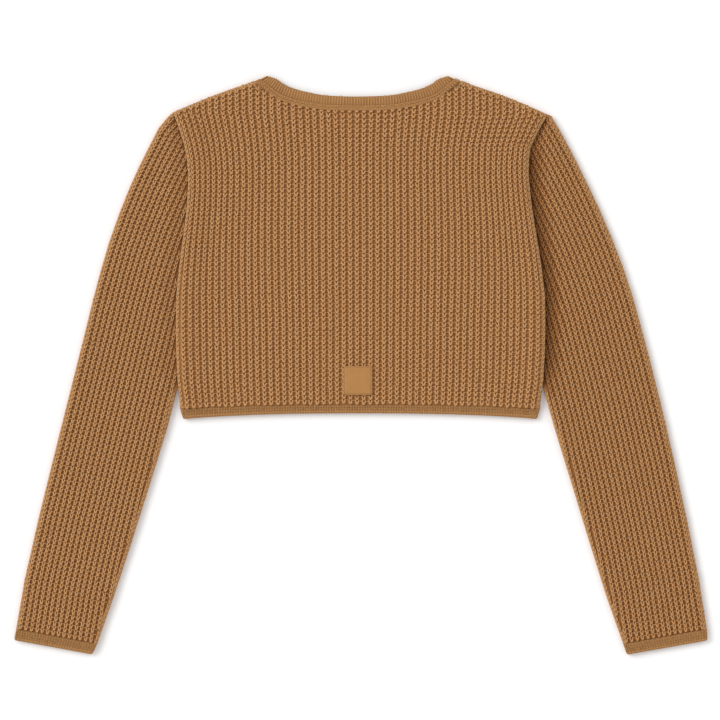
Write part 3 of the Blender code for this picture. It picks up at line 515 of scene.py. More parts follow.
def soft_copy(node, name):
    """A copy of a node's solid with its loose triangles joined, shaded as rounded."""
    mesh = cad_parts[node].data.copy()
    mesh.name = name
    mesh.materials.clear()
    weld(mesh, 1e-5)
    return new_object(name, mesh)


def mirrored(half):
    """A path from its left half: the right half mirrors it."""
    left = np.array(half, float)
    right = left[::-1] * np.array([-1.0, 1.0, 1.0, 1.0])
    return np.vstack([left, right])


def yarn_mesh(name, path, width, height, sides=3):
    """A closed length of yarn along a path, with few faces, the flat of them upwards."""
    path = np.asarray(path, float)
    points, thickness = path[:, :3], path[:, 3]
    runs = np.gradient(points, axis=0)
    runs /= np.linalg.norm(runs, axis=1)[:, None]
    if np.ptp(points[:, 0]) < 0.01:
        aside = np.tile([1.0, 0.0, 0.0], (len(path), 1))
    else:
        aside = np.cross(runs, [0.0, 0.0, 1.0])
        aside /= np.linalg.norm(aside, axis=1)[:, None]
    upward = np.cross(aside, runs)
    turns = math.radians(-90.0) + np.arange(sides) * 2 * math.pi / sides
    bm = bmesh.new()
    uv = bm.loops.layers.uv.new("yarn")
    # rise keeps each point's height, for the painted shade of the yarn's finish.
    rise = bm.verts.layers.float.new("rise")
    low, high = PAINTED_SHADE_HEIGHTS
    rings = []
    for p, a, n, share in zip(points, aside, upward, thickness):
        ring = [p + share * (0.5 * width * math.cos(t) * a + 0.5 * height * math.sin(t) * n)
                for t in turns]
        rings.append([bm.verts.new(q * MM) for q in ring])
        for vertex, q in zip(rings[-1], ring):
            vertex[rise] = min(max((q[2] - low) / (high - low), 0.0), 1.0)
    lengths = along(points)
    for k in range(len(rings) - 1):
        for j in range(sides):
            after = (j + 1) % sides
            face = bm.faces.new([rings[k][j], rings[k][after],
                                 rings[k + 1][after], rings[k + 1][j]])
            corners = ((k, j), (k, j + 1), (k + 1, j + 1), (k + 1, j))
            for loop, (row, column) in zip(face.loops, corners):
                loop[uv].uv = (lengths[row], column / sides)
    return close_tube(name, bm, rings)


# ------------------------------------------------------------------ node trees

class Wire:
    """A socket of a node tree; arithmetic on it adds the Math nodes that work it out."""

    def __init__(self, tree, socket):
        self.tree = tree
        self.socket = socket

    def _math(self, operation, *values):
        inputs = dict(enumerate(values))
        return self.tree.node("ShaderNodeMath", {"operation": operation}, inputs)

    def __add__(self, other):
        return self._math("ADD", self, other)

    __radd__ = __add__

    def __sub__(self, other):
        return self._math("SUBTRACT", self, other)

    def __rsub__(self, other):
        return self._math("SUBTRACT", other, self)

    def __mul__(self, other):
        return self._math("MULTIPLY", self, other)

    __rmul__ = __mul__

    def __truediv__(self, other):
        return self._math("DIVIDE", self, other)

    def sine(self):
        """Sine of the value."""
        return self._math("SINE", self)

    def wave(self, length):
        """The value folded to and fro over a length: 0 to half of it."""
        return self._math("PINGPONG", self, 0.5 * length)


class Tree:
    """Adds nodes to a node tree and joins them."""

    def __init__(self, tree):
        self.tree = tree

    def node(self, kind, settings=None, inputs=None, output=0):
        """Add a node of a kind, with its settings and then its sockets' values."""
        node = self.tree.nodes.new(kind)
        for name, value in (settings or {}).items():
            setattr(node, name, value)
        for key, value in (inputs or {}).items():
            if isinstance(value, Wire):
                self.tree.links.new(value.socket, node.inputs[key])
            else:
                node.inputs[key].default_value = value
        return Wire(self, node.outputs[output]) if len(node.outputs) else None


class Finish(Tree):
    """A material with a Principled shader, whose nodes read the piece itself."""

    def __init__(self, name):
        self.material = bpy.data.materials.new(name)
        self.material.use_nodes = True
        super().__init__(self.material.node_tree)
        self.tree.nodes.clear()
        self.place = self.node("ShaderNodeTexCoord", output="Object")

    def attribute(self, name):
        """A number that the piece's points carry."""
        return self.node("ShaderNodeAttribute", {"attribute_name": name}, output="Fac")

    def noise(self, scale, detail=3.0):
        """Even noise of about 1 / scale metres."""
        return self.node("ShaderNodeTexNoise", None,
                         {"Vector": self.place, "Scale": scale, "Detail": detail})

    def mix(self, share, first, second):
        """A colour between two, each a wire or red, green and blue."""
        first, second = (c if isinstance(c, Wire) else (*c, 1.0) for c in (first, second))
        return self.node("ShaderNodeMix", {"data_type": "RGBA"},
                         {0: share, 6: first, 7: second}, output=2)

    def parts(self, vector):
        """The x, y and z of a vector."""
        first = self.node("ShaderNodeSeparateXYZ", None, {0: vector})
        return [Wire(self, socket) for socket in first.socket.node.outputs]

    def bump(self, height, distance, strength, normal=None):
        """A normal from a height, over a distance in metres."""
        inputs = {"Height": height, "Distance": distance, "Strength": strength}
        if normal is not None:
            inputs["Normal"] = normal
        return self.node("ShaderNodeBump", None, inputs)

    def join(self, colour, roughness, normal, fixed):
        """Join the shader; fixed holds the values of its own sockets."""
        inputs = {"Base Color": colour, "Roughness": roughness, "Normal": normal, **fixed}
        shader = self.node("ShaderNodeBsdfPrincipled", None, inputs)
        self.node("ShaderNodeOutputMaterial", None, {"Surface": shader})


def stitch_tree():
    """Sets a stitch on each of a guide's points, and gives each one its own shade."""
    group = bpy.data.node_groups.get("Set stitches")
    if group:
        return group
    group = bpy.data.node_groups.new("Set stitches", "GeometryNodeTree")
    sockets = (("Guide", "Geometry"), ("Stitch", "Object"), ("Finish", "Material"),
               ("Thickness", "Float"), ("Shade spread", "Float"), ("Seed", "Int"))
    for name, kind in sockets:
        group.interface.new_socket(name, in_out="INPUT", socket_type="NodeSocket" + kind)
    group.interface.new_socket("Knit", in_out="OUTPUT", socket_type="NodeSocketGeometry")
    tree = Tree(group)
    entry = group.nodes.new("NodeGroupInput")
    given = {name: Wire(tree, entry.outputs[name]) for name, _ in sockets}

    def stored(name, kind="FLOAT_VECTOR"):
        return tree.node("GeometryNodeInputNamedAttribute",
                         {"data_type": kind}, {"Name": name}, output="Attribute")

    stitch = tree.node("GeometryNodeObjectInfo", None, {"Object": given["Stitch"]},
                       output="Geometry")
    turn = tree.node("FunctionNodeEulerToRotation", None, {0: stored("turn")})
    thick = tree.node("ShaderNodeCombineXYZ", None, {0: 1.0, 1: 1.0, 2: given["Thickness"]})
    size = tree.node("ShaderNodeVectorMath", {"operation": "MULTIPLY"},
                     {0: stored("size"), 1: thick})
    placed = tree.node("GeometryNodeInstanceOnPoints", None,
                       {"Points": given["Guide"], "Instance": stitch,
                        "Rotation": turn, "Scale": size})
    shade = tree.node("FunctionNodeRandomValue", {"data_type": "FLOAT"},
                      {2: -1.0 * given["Shade spread"], 3: given["Shade spread"],
                       "Seed": given["Seed"]}, output=1)
    # The guide's tone rides on the random shade; on the sleeves it holds a painted shadow, on
    # the rolls a painted highlight.
    shaded = tree.node("GeometryNodeStoreNamedAttribute",
                       {"data_type": "FLOAT", "domain": "INSTANCE"},
                       {"Geometry": placed, "Name": "shade",
                        "Value": shade + stored("tone", "FLOAT")})
    real = tree.node("GeometryNodeRealizeInstances", None, {"Geometry": shaded})
    done = tree.node("GeometryNodeSetMaterial", None,
                     {"Geometry": real, "Material": given["Finish"]})
    tree.node("NodeGroupOutput", None, {"Knit": done})
    return group


def turns_of(across, upwards):
    """Euler angles of frames from their courses' directions and their normals."""
    angles = []
    for x, z in zip(across, upwards):
        x = x - z * (x @ z)
        x /= np.linalg.norm(x)
        basis = Matrix([x, np.cross(z, x), z]).transposed()
        angles.append(basis.to_euler("XYZ")[:])
    return np.array(angles)


def knit(name, guides, stitch, material, spread, thickness=1.0):
    """One mesh of stitches on guides: rows of (points, across, upwards, size, tone)."""
    points, across, upwards, sizes, tones = (
        np.concatenate(part) for part in zip(*guides))
    mesh = bpy.data.meshes.new(name)
    mesh.from_pydata((points * MM).tolist(), [], [])
    for label, values in (("turn", turns_of(across, upwards)), ("size", sizes)):
        layer = mesh.attributes.new(label, "FLOAT_VECTOR", "POINT")
        layer.data.foreach_set("vector", values.astype(np.float32).ravel())
    keep(mesh, "tone", tones)
    obj = new_object(name, mesh)
    pattern = new_object(name + "_pattern", stitch)
    modifier = obj.modifiers.new("Stitches", "NODES")
    modifier.node_group = stitch_tree()
    values = {"Stitch": pattern, "Finish": material, "Thickness": thickness,
              "Shade spread": spread, "Seed": bpy.context.scene.pullover_knit.seed}
    for item in modifier.node_group.interface.items_tree:
        if item.in_out == "INPUT" and item.name in values:
            modifier[item.identifier] = values[item.name]
    depsgraph = bpy.context.evaluated_depsgraph_get()
    real = bpy.data.meshes.new_from_object(
        obj.evaluated_get(depsgraph), preserve_all_data_layers=True, depsgraph=depsgraph)
    obj.modifiers.clear()
    obj.data = real
    real.name = name
    for label in ("turn", "size", "tone"):
        if label in real.attributes:
            real.attributes.remove(real.attributes[label])
    bpy.data.objects.remove(pattern)
    bpy.data.meshes.remove(mesh)
    return obj


def on_surface(height, x, y):
    """Points and normals of a surface given by its height at x and y."""
    step = 0.8
    z = height(x, y)
    slope_x = (height(x + step, y) - height(x - step, y)) / (2 * step)
    slope_y = (height(x, y + step) - height(x, y - step)) / (2 * step)
    normals = np.stack([-slope_x, -slope_y, np.ones_like(x)], axis=-1)
    normals /= np.linalg.norm(normals, axis=1)[:, None]
    return np.stack([x, y, z], axis=-1), normals


def guide(height, plan, up_run, sizes, rng):
    """Guides of stitches at plan points: their wales run along up_run.

    Sizes are the width and height of each of their cells, or the same for all.
    """
    points, normals = on_surface(height, plan[:, 0], plan[:, 1])
    across = np.column_stack([up_run[:, 1], -up_run[:, 0], np.zeros(len(plan))])
    across /= np.linalg.norm(across, axis=1)[:, None]
    side = np.cross(normals, across)
    across = across + rng.normal(0.0, SWAY, (len(plan), 1)) * side
    points = points + rng.normal(0.0, SCATTER, (len(plan), 1)) * across
    points = points + rng.normal(0.0, SCATTER, (len(plan), 1)) * side
    cells = np.broadcast_to(np.divide(sizes, KNIT_CELL), (len(plan), 2))
    scale = np.column_stack([cells, 1.0 + rng.normal(0.0, LOFT_SPREAD, len(plan))])
    return points, across, normals, scale, np.zeros(len(plan))


def edge_guides(height, line, sign, spots, sink, course, rng):
    """Guides of a flat column of stitches alongside an edge: sign is 1 on its left side."""
    plan = walk(line, spots)
    up = walk(line, spots + 3.0) - walk(line, spots - 3.0)
    up /= np.hypot(*up.T)[:, None]
    aside = sign * np.column_stack([-up[:, 1], up[:, 0]])
    placed = guide(height, plan + ROLL_INSET * aside, up, (ROLL_WALE, course), rng)
    return placed[0] - sink * placed[2], *placed[1:]


def flat_guide(plan, z, up, size, rng):
    """Guides of stitches on a level face at plan points."""
    up = up / np.hypot(*up.T)[:, None]
    points = np.column_stack([plan, np.broadcast_to(z, len(plan))])
    across = np.column_stack([up[:, 1], -up[:, 0], np.zeros(len(plan))])
    normals = np.tile([0.0, 0.0, 1.0], (len(plan), 1))
    scale = np.array(size) * (1.0 + rng.normal(0.0, FINE_DIFFERENCE, (len(plan), 3)))
    return points, across, normals, scale, np.zeros(len(plan))


def toned(guides, tone):
    """The same guides, for stitches with a lighter tone."""
    return [(*placed[:4], placed[4] + tone) for placed in guides]


# ------------------------------------------------------------------ settings

class PulloverKnit(bpy.types.PropertyGroup):
    """Sizes of the chunky knit."""

    wales: bpy.props.IntProperty(
        name="Wales", description="Columns of stitches across the body", default=54, min=20)
    course: bpy.props.FloatProperty(
        name="Course", description="Height of one row of the body's stitches",
        default=5.06 * MM, unit="LENGTH")
    sleeve_wale: bpy.props.FloatProperty(
        name="Sleeve wale", description="Width of one column of a sleeve's stitches",
        default=6.05 * MM, unit="LENGTH")
    sleeve_course: bpy.props.FloatProperty(
        name="Sleeve course", description="Height of one row of a sleeve's stitches",
        default=5.2 * MM, unit="LENGTH")
    yarn_width: bpy.props.FloatProperty(
        name="Yarn width", description="Width of the yarn", default=2.3 * MM, unit="LENGTH")
    yarn_height: bpy.props.FloatProperty(
        name="Yarn height", description="Height of the yarn over its loops",
        default=1.75 * MM, unit="LENGTH")
    thickness: bpy.props.FloatProperty(
        name="Loft", description="How far the stitches stand up", default=1.0, subtype="FACTOR")
    seed: bpy.props.IntProperty(
        name="Seed", description="Seed of the stitches' small differences", default=7)


class PulloverBands(bpy.types.PropertyGroup):
    """Sizes of the fine bands."""

    rib: bpy.props.FloatProperty(
        name="Neck rib", description="Distance between the neckband's ribs",
        default=3.1 * MM, unit="LENGTH")
    rib_width: bpy.props.FloatProperty(
        name="Rib width", description="Width of one rib", default=1.65 * MM, unit="LENGTH")
    fine_wale: bpy.props.FloatProperty(
        name="Fine wale", description="Width of a stitch of the hem band and cuffs",
        default=2.85 * MM, unit="LENGTH")
    fine_course: bpy.props.FloatProperty(
        name="Fine course", description="Height of a stitch of the hem band and cuffs",
        default=2.3 * MM, unit="LENGTH")


class PulloverColours(bpy.types.PropertyGroup):
    """Colours of the yarn and the patch."""

    yarn: bpy.props.FloatVectorProperty(
        name="Yarn", description="Light side of the yarn", size=3, subtype="COLOR",
        default=(0.52, 0.282, 0.121), min=0.0, max=1.0)
    # Darker strands of the yarn, and the painted shade low on the loops and in the hollows.
    yarn_deep: bpy.props.FloatVectorProperty(
        name="Deep yarn", description="Darker strands of the yarn", size=3, subtype="COLOR",
        default=(0.42, 0.182, 0.061), min=0.0, max=1.0)
    # Painted shade: the dark colour painted on the cloth between the stitches and in other
    # hollows.
    hollow: bpy.props.FloatVectorProperty(
        name="Hollow", description="Cloth seen between the stitches", size=3,
        subtype="COLOR", default=(0.44, 0.184, 0.060), min=0.0, max=1.0)
    band: bpy.props.FloatVectorProperty(
        name="Bands", description="Yarn of the fine bands", size=3, subtype="COLOR",
        default=(0.47, 0.238, 0.091), min=0.0, max=1.0)
    leather: bpy.props.FloatVectorProperty(
        name="Leather", description="Patch leather", size=3, subtype="COLOR",
        default=(0.40, 0.181, 0.045), min=0.0, max=1.0)


class PulloverStudio(bpy.types.PropertyGroup):
    """Camera and lights."""

    lens: bpy.props.FloatProperty(
        name="Lens", description="Focal length", default=200.0, unit="CAMERA")
    field: bpy.props.FloatProperty(
        name="Field", description="Width that the camera takes in at the garment",
        default=0.792, unit="LENGTH")
    key: bpy.props.FloatProperty(
        name="Key light", description="Strength of the light from the upper left",
        default=1.60)
    key_height: bpy.props.FloatProperty(
        name="Key height", description="How far the key light stands above the floor",
        default=math.radians(41.0), subtype="ANGLE")
    key_side: bpy.props.FloatProperty(
        name="Key side", description="Direction of the key light, from the right turning left",
        default=math.radians(152.0), subtype="ANGLE")
    key_spread: bpy.props.FloatProperty(
        name="Key spread", description="How wide and so how soft the key light is",
        default=math.radians(36.0), subtype="ANGLE")
    fill: bpy.props.FloatProperty(
        name="Fill", description="Strength of the light from all round", default=0.86)
    floor: bpy.props.FloatVectorProperty(
        name="Floor", description="Colour of the floor", size=3, subtype="COLOR",
        default=(0.91, 0.91, 0.91), min=0.0, max=1.0)


# ------------------------------------------------------------------ finishes

WOOL = {"Sheen Weight": 0.02, "Sheen Roughness": 0.45, "Specular IOR Level": 0.06,
        "Sheen Tint": (1.0, 0.8, 0.6, 1.0)}


def deepened(share, colour):
    """A colour made darker."""
    return tuple(share * c for c in colour)


def made_once(make):
    """Make a material the first time that it is asked for: make joins its nodes."""
    def ask(*depth):
        name = "_".join([make.__name__, *("%02d" % round(10 * d) for d in depth)])
        if name not in bpy.data.materials:
            make(Finish(name), bpy.context.scene.pullover_colours, *depth)
        return bpy.data.materials[name]

    return ask


@made_once
def chunky_yarn(finish, colours):
    """Brushed, lightly twisted yarn of the chunky stitches, painted darker low on its loops as
    painted shade.
    """
    length, turn, _ = finish.parts(finish.node("ShaderNodeUVMap", {"uv_map": "yarn"}))
    ply = (length * 2.6 + turn * 18.85).sine()
    mottle, fuzz = finish.noise(420.0), finish.noise(2600.0)
    shade = finish.attribute("shade")
    # Painted shade: the yarn is lighter high on each loop and darker low down, by its rise;
    # mottle and twist vary it at random.
    share = (0.28 + finish.attribute("rise") * 0.60 + shade
             + (mottle - 0.5) * 0.8 + ply * 0.05)
    colour = finish.mix(share, colours.yarn_deep, colours.yarn)
    # Painted shadow: a stitch whose shade is far below zero, as beside the body, is painted
    # towards a dark hollow colour.
    colour = finish.mix((-0.3 - shade) * 1.2, colour, deepened(0.6, colours.hollow))
    bump = finish.bump(ply * 0.35 + fuzz, 0.00025, 0.55)
    finish.join(colour, 0.8 + fuzz * 0.15, bump, WOOL)


@made_once
def cloth_under(finish, colours, depth):
    """The cloth that shows between the stitches, painted in a dark hollow colour as painted
    shade, and as a smooth roll at the edges.
    """
    x, y, _ = finish.parts(finish.place)
    mottle, fuzz = finish.noise(500.0), finish.noise(2400.0)
    fine = (y * 2480.0 + (x * 2700.0).sine() * 0.7).sine()
    # Painted shade: between the stitches the cloth takes the dark hollow colour, scaled by
    # depth, so darker on the sleeves than on the back.
    deep = finish.mix(mottle, deepened(depth, colours.hollow),
                      deepened(0.75 * depth, colours.yarn_deep))
    # Painted shadow: where the cloth carries beside, as on the sleeves next to the body, it is
    # painted darker still.
    deep = finish.mix(finish.attribute("beside"), deep, deepened(0.3, colours.hollow))
    light = finish.mix(mottle * 0.5 + fine * 0.12 + 0.2, colours.yarn_deep, colours.yarn)
    colour = finish.mix(finish.attribute("edge"), deep, light)
    bump = finish.bump(fine * 0.3 + fuzz, 0.0004, 0.8)
    finish.join(colour, 0.85 + fuzz * 0.1, bump, WOOL)


@made_once
def plain_knit(finish, colours):
    """Knit of the front, whose stitches lie pressed on the surface below."""
    wale, course = (side * MM for side in KNIT_CELL)
    off = finish.attribute("across").wave(wale) / (0.5 * wale)
    rows = (finish.attribute("upwards") * (2 * math.pi / course) - off * 3.6).sine()
    height = rows * 0.5 * (1.0 - off * 0.4) + (1.0 - off) * 1.1
    mottle, fuzz = finish.noise(420.0), finish.noise(2600.0)
    # Painted shade: the pressed knit's low parts are painted towards the hollow colour.
    share = 0.12 + height * 0.42 + (mottle - 0.5) * 0.5
    colour = finish.mix(share, colours.hollow, colours.yarn)
    bump = finish.bump(fuzz, 0.0002, 0.4, finish.bump(height, 0.0012, 0.9))
    finish.join(colour, 0.8 + fuzz * 0.15, bump, WOOL)


@made_once
def band_knit(finish, colours):
    """Smooth fine knit of the bands."""
    mottle, fuzz = finish.noise(600.0), finish.noise(3000.0)
    share = 0.50 + finish.attribute("shade") + (mottle - 0.5) * 0.9
    colour = finish.mix(share, deepened(0.62, colours.band), colours.band)
    finish.join(colour, 0.82 + fuzz * 0.12, finish.bump(fuzz, 0.0002, 0.5), WOOL)


@made_once
def band_under(finish, colours):
    """The bands' cloth between their ribs and stitches, painted darker than their yarn as
    painted shade.
    """
    mottle, fuzz = finish.noise(600.0), finish.noise(3000.0)
    colour = finish.mix(mottle, deepened(0.5, colours.band), deepened(0.8, colours.band))
    finish.join(colour, 0.9, finish.bump(fuzz, 0.0002, 0.5), WOOL)


@made_once
def patch_leather(finish, colours):
    """Smooth tan leather with a fine grain and a darker pressed line."""
    grain = finish.node("ShaderNodeTexVoronoi", {"feature": "DISTANCE_TO_EDGE"},
                        {"Vector": finish.place, "Scale": 1500.0})
    cloud, fine = finish.noise(130.0, 4.0), finish.noise(2600.0, 2.0)
    share = 0.35 + cloud * 0.9 - finish.attribute("pressed") * 0.8
    colour = finish.mix(share, deepened(0.72, colours.leather), colours.leather)
    bump = finish.bump(grain * 0.8 + fine * 0.3, 0.00012, 0.5)
    finish.join(colour, 0.42 + cloud * 0.18, bump, {"Specular IOR Level": 0.45})


# ------------------------------------------------------------------ pieces

def declare(pieces, slot, node, flat=None, **laid):
    """Attach pieces to the root body and hide a node's solid.

    Flat, the cloth's width and length in metres, is not used.
    """
    for piece in pieces:
        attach(piece, "root")
    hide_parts(node)


# ------------------------------------------------------------------ body

def back_height(panel):
    """The back's surface under its stitches, as a function of x and y."""
    def height(x, y):
        sides, top, hem = panel.depths(x, y)
        bell = np.exp(-((sides - PUFF_INSET) / PUFF_INSET) ** 2)
        crown = BACK_Z + SIDE_PUFF * bell + creases(x, y)
        inside_neck = ease((NECK_HALF + 7.0 - np.abs(x - NECK_X)) / 8.0)
        top_edge = LIP_Z + (LINKED_Z - LIP_Z) * inside_neck
        top_width = EDGE_ROLL + (LINKED_ROLL - EDGE_ROLL) * inside_neck
        z = LIP_Z + (crown - LIP_Z) * roll(sides / SIDE_ROLL)
        z = np.minimum(z, top_edge + (crown - top_edge) * roll(top / top_width))
        return np.minimum(z, LINKED_Z + (crown - LINKED_Z) * roll(hem / LINKED_ROLL))

    return height


def make_back_wall(panel):
    """The back's cloth."""
    height = back_height(panel)
    outer, inner = panel.grid(), panel.grid(WALL_INSET)
    top = height(outer[..., 0], outer[..., 1])
    under = np.maximum(height(inner[..., 0], inner[..., 1]) - BACK_WALL, LIP_Z)
    mesh = wall_mesh("back_cloth", np.dstack([outer, top]), np.dstack([inner, under]))
    x, y, _ = mesh_points(mesh).T
    keep(mesh, "edge", 1.0 - ease((panel.depths(x, y)[0] - SMOOTH_STRIP) / 1.5))
    mesh.materials.append(cloth_under(1.0))
    return new_object("back_cloth", mesh)


def knit_and_bars(name, half, guides, bar_guides):
    """A panel's loops, and the strands that run from them to the next wale."""
    sizes = bpy.context.scene.pullover_knit
    width, height = sizes.yarn_width / MM, sizes.yarn_height / MM
    loop = yarn_mesh("loop", mirrored(half), width, height)
    path = mirrored(BAR_HALF) + np.array([0.5 * KNIT_CELL[0], BAR_RISE, 0.0, 0.0])
    bar = yarn_mesh("bar", path, BAR_SECTION[0] * width, BAR_SECTION[1] * height)
    parts = (("_stitches", guides, loop), ("_bars", toned(bar_guides, BAR_TONE), bar))
    return [knit(name + part, spots, mesh, chunky_yarn(), KNIT_SPREAD, sizes.thickness)
            for part, spots, mesh in parts]


def knit_rolls(name, guides):
    """The flat columns along a panel's edges."""
    loop = yarn_mesh("roll_loop", mirrored(KNIT_HALF), *ROLL_YARN)
    return knit(name + "_rolls", guides, loop, chunky_yarn(), ROLL_SPREAD)


def end_at(spots, end, step):
    """Rows whose last ones give way, so that the wale ends where its panel does."""
    short = end - spots[-1]
    if short > 0.5 * step:
        spots = np.append(spots, spots[-1] + step)
        short -= step
    share = np.clip(1.0 - np.arange(len(spots))[::-1] / ENDING_ROWS, 0.0, 1.0)
    return spots + short * share ** 2


def make_back_stitches(panel):
    """The back's knit stitches, wale by wale."""
    knit_sizes = bpy.context.scene.pullover_knit
    height = back_height(panel)
    rng = np.random.default_rng(knit_sizes.seed)
    course = knit_sizes.course / MM
    strip = SIDE_STRIP / panel.width
    pitch = (1.0 - 2.0 * strip) / knit_sizes.wales
    middle = float(panel.hem(np.array([0.0]))[0])
    guides = []
    for wale in range(knit_sizes.wales):
        u = strip + (wale + 0.5) * pitch
        bottom, top = (float(end[0]) for end in panel.ends(np.array([u])))
        at_neck = abs(panel.x_at(u, top) - NECK_X) < NECK_HALF
        end = top - (NECK_MARGIN if at_neck else SHOULDER_MARGIN) * course
        ys = middle + FIRST_ROW * course + course * np.arange(BACK_ROWS)
        ys = ys + (bottom - middle) * np.clip(1.0 - (ys - middle) / COURSE_FADE, 0.0, 1.0)
        ys = end_at(ys[(ys > bottom) & (ys < end)], end, course)
        ys = (ys + rng.normal(0.0, WALE_SHIFT)
              + WANDER * np.sin(ys / WANDER_LENGTH + WANDER_PHASE * wale))
        run = np.column_stack([panel.x_at(u, ys + 2.0) - panel.x_at(u, ys - 2.0),
                               np.full_like(ys, 4.0)])
        width = panel.x_at(u + 0.5 * pitch, ys) - panel.x_at(u - 0.5 * pitch, ys)
        sizes = np.column_stack([width * run[:, 1] / np.hypot(*run.T),
                                 np.full_like(ys, course)])
        plan = np.column_stack([panel.x_at(u, ys), ys])
        guides.append(guide(height, plan, run, sizes, rng))
    return knit_and_bars("back", KNIT_HALF, guides, guides)


def make_rolls(panel):
    """The flat columns on the rolls of the sides and along the shoulders."""
    knit_sizes = bpy.context.scene.pullover_knit
    height = back_height(panel)
    rng = np.random.default_rng(knit_sizes.seed + 1)
    course = knit_sizes.course / MM
    rolls = []
    for side, sign in ((0, -1.0), (1, 1.0)):
        tip = panel.tips[side]
        ys = np.linspace(panel.feet[side][1] + 1.0, tip[1], 140)
        line = np.column_stack([panel.side(side, ys), ys])
        xs = np.linspace(tip[0], NECK_X + sign * (NECK_HALF + 6.0), 60)
        shoulder = np.column_stack([xs, panel.top(xs)])
        for edge in (line, shoulder):
            spots = np.arange(3.6, along(edge)[-1] - 2.4, course)
            rolls.append(edge_guides(height, edge, sign, spots, ROLL_SINK, course, rng))
        # Single stitches cover the ends of the shoulder's seam.
        band_end = corner(Plan("neckband").points, (sign, 0.0))
        seam = [band_end + [0.6 * sign, -1.3], band_end + [-1.6 * sign, -2.4]]
        if side == 1:
            seam += [tip + [-0.4, -1.0], tip + [1.2, -2.2]]
        run = np.tile([sign, SEAM_STEEPNESS], (len(seam), 1))
        rolls.append(guide(height, np.array(seam), run, (ROLL_WALE, course), rng))
    # The rolls are painted lighter: a painted highlight on the body's rounded edges.
    return knit_rolls("back", toned(rolls, ROLL_PAINTED_LIGHT))


class PULLOVER_OT_back(bpy.types.Operator):
    """Knit the back panel: its cloth, its stitches and the rolls at its edges"""

    bl_idname = "pullover.back"
    bl_label = "Back"

    def execute(self, context):
        """Make the back's pieces, attach them and hide its solid."""
        panel = Panel("back")
        pieces = [make_back_wall(panel), *make_back_stitches(panel), make_rolls(panel)]
        declare(pieces, "yarn", "back", panel.flat(), rests_on=["front"], area=panel.area())
        return {"FINISHED"}


class PULLOVER_OT_front(bpy.types.Operator):
    """Make the front panel, which lies face down under the back"""

    bl_idname = "pullover.front"
    bl_label = "Front"

    def execute(self, context):
        panel = Panel("front")
        cloth = soft_copy("front", "front_cloth")
        x, y, _ = mesh_points(cloth.data).T
        keep(cloth.data, "across", x * MM)
        keep(cloth.data, "upwards", y * MM)
        cloth.data.materials.append(plain_knit())
        declare([cloth], "yarn", "front", panel.flat(), area=panel.area())
        return {"FINISHED"}


# ------------------------------------------------------------------ sleeves

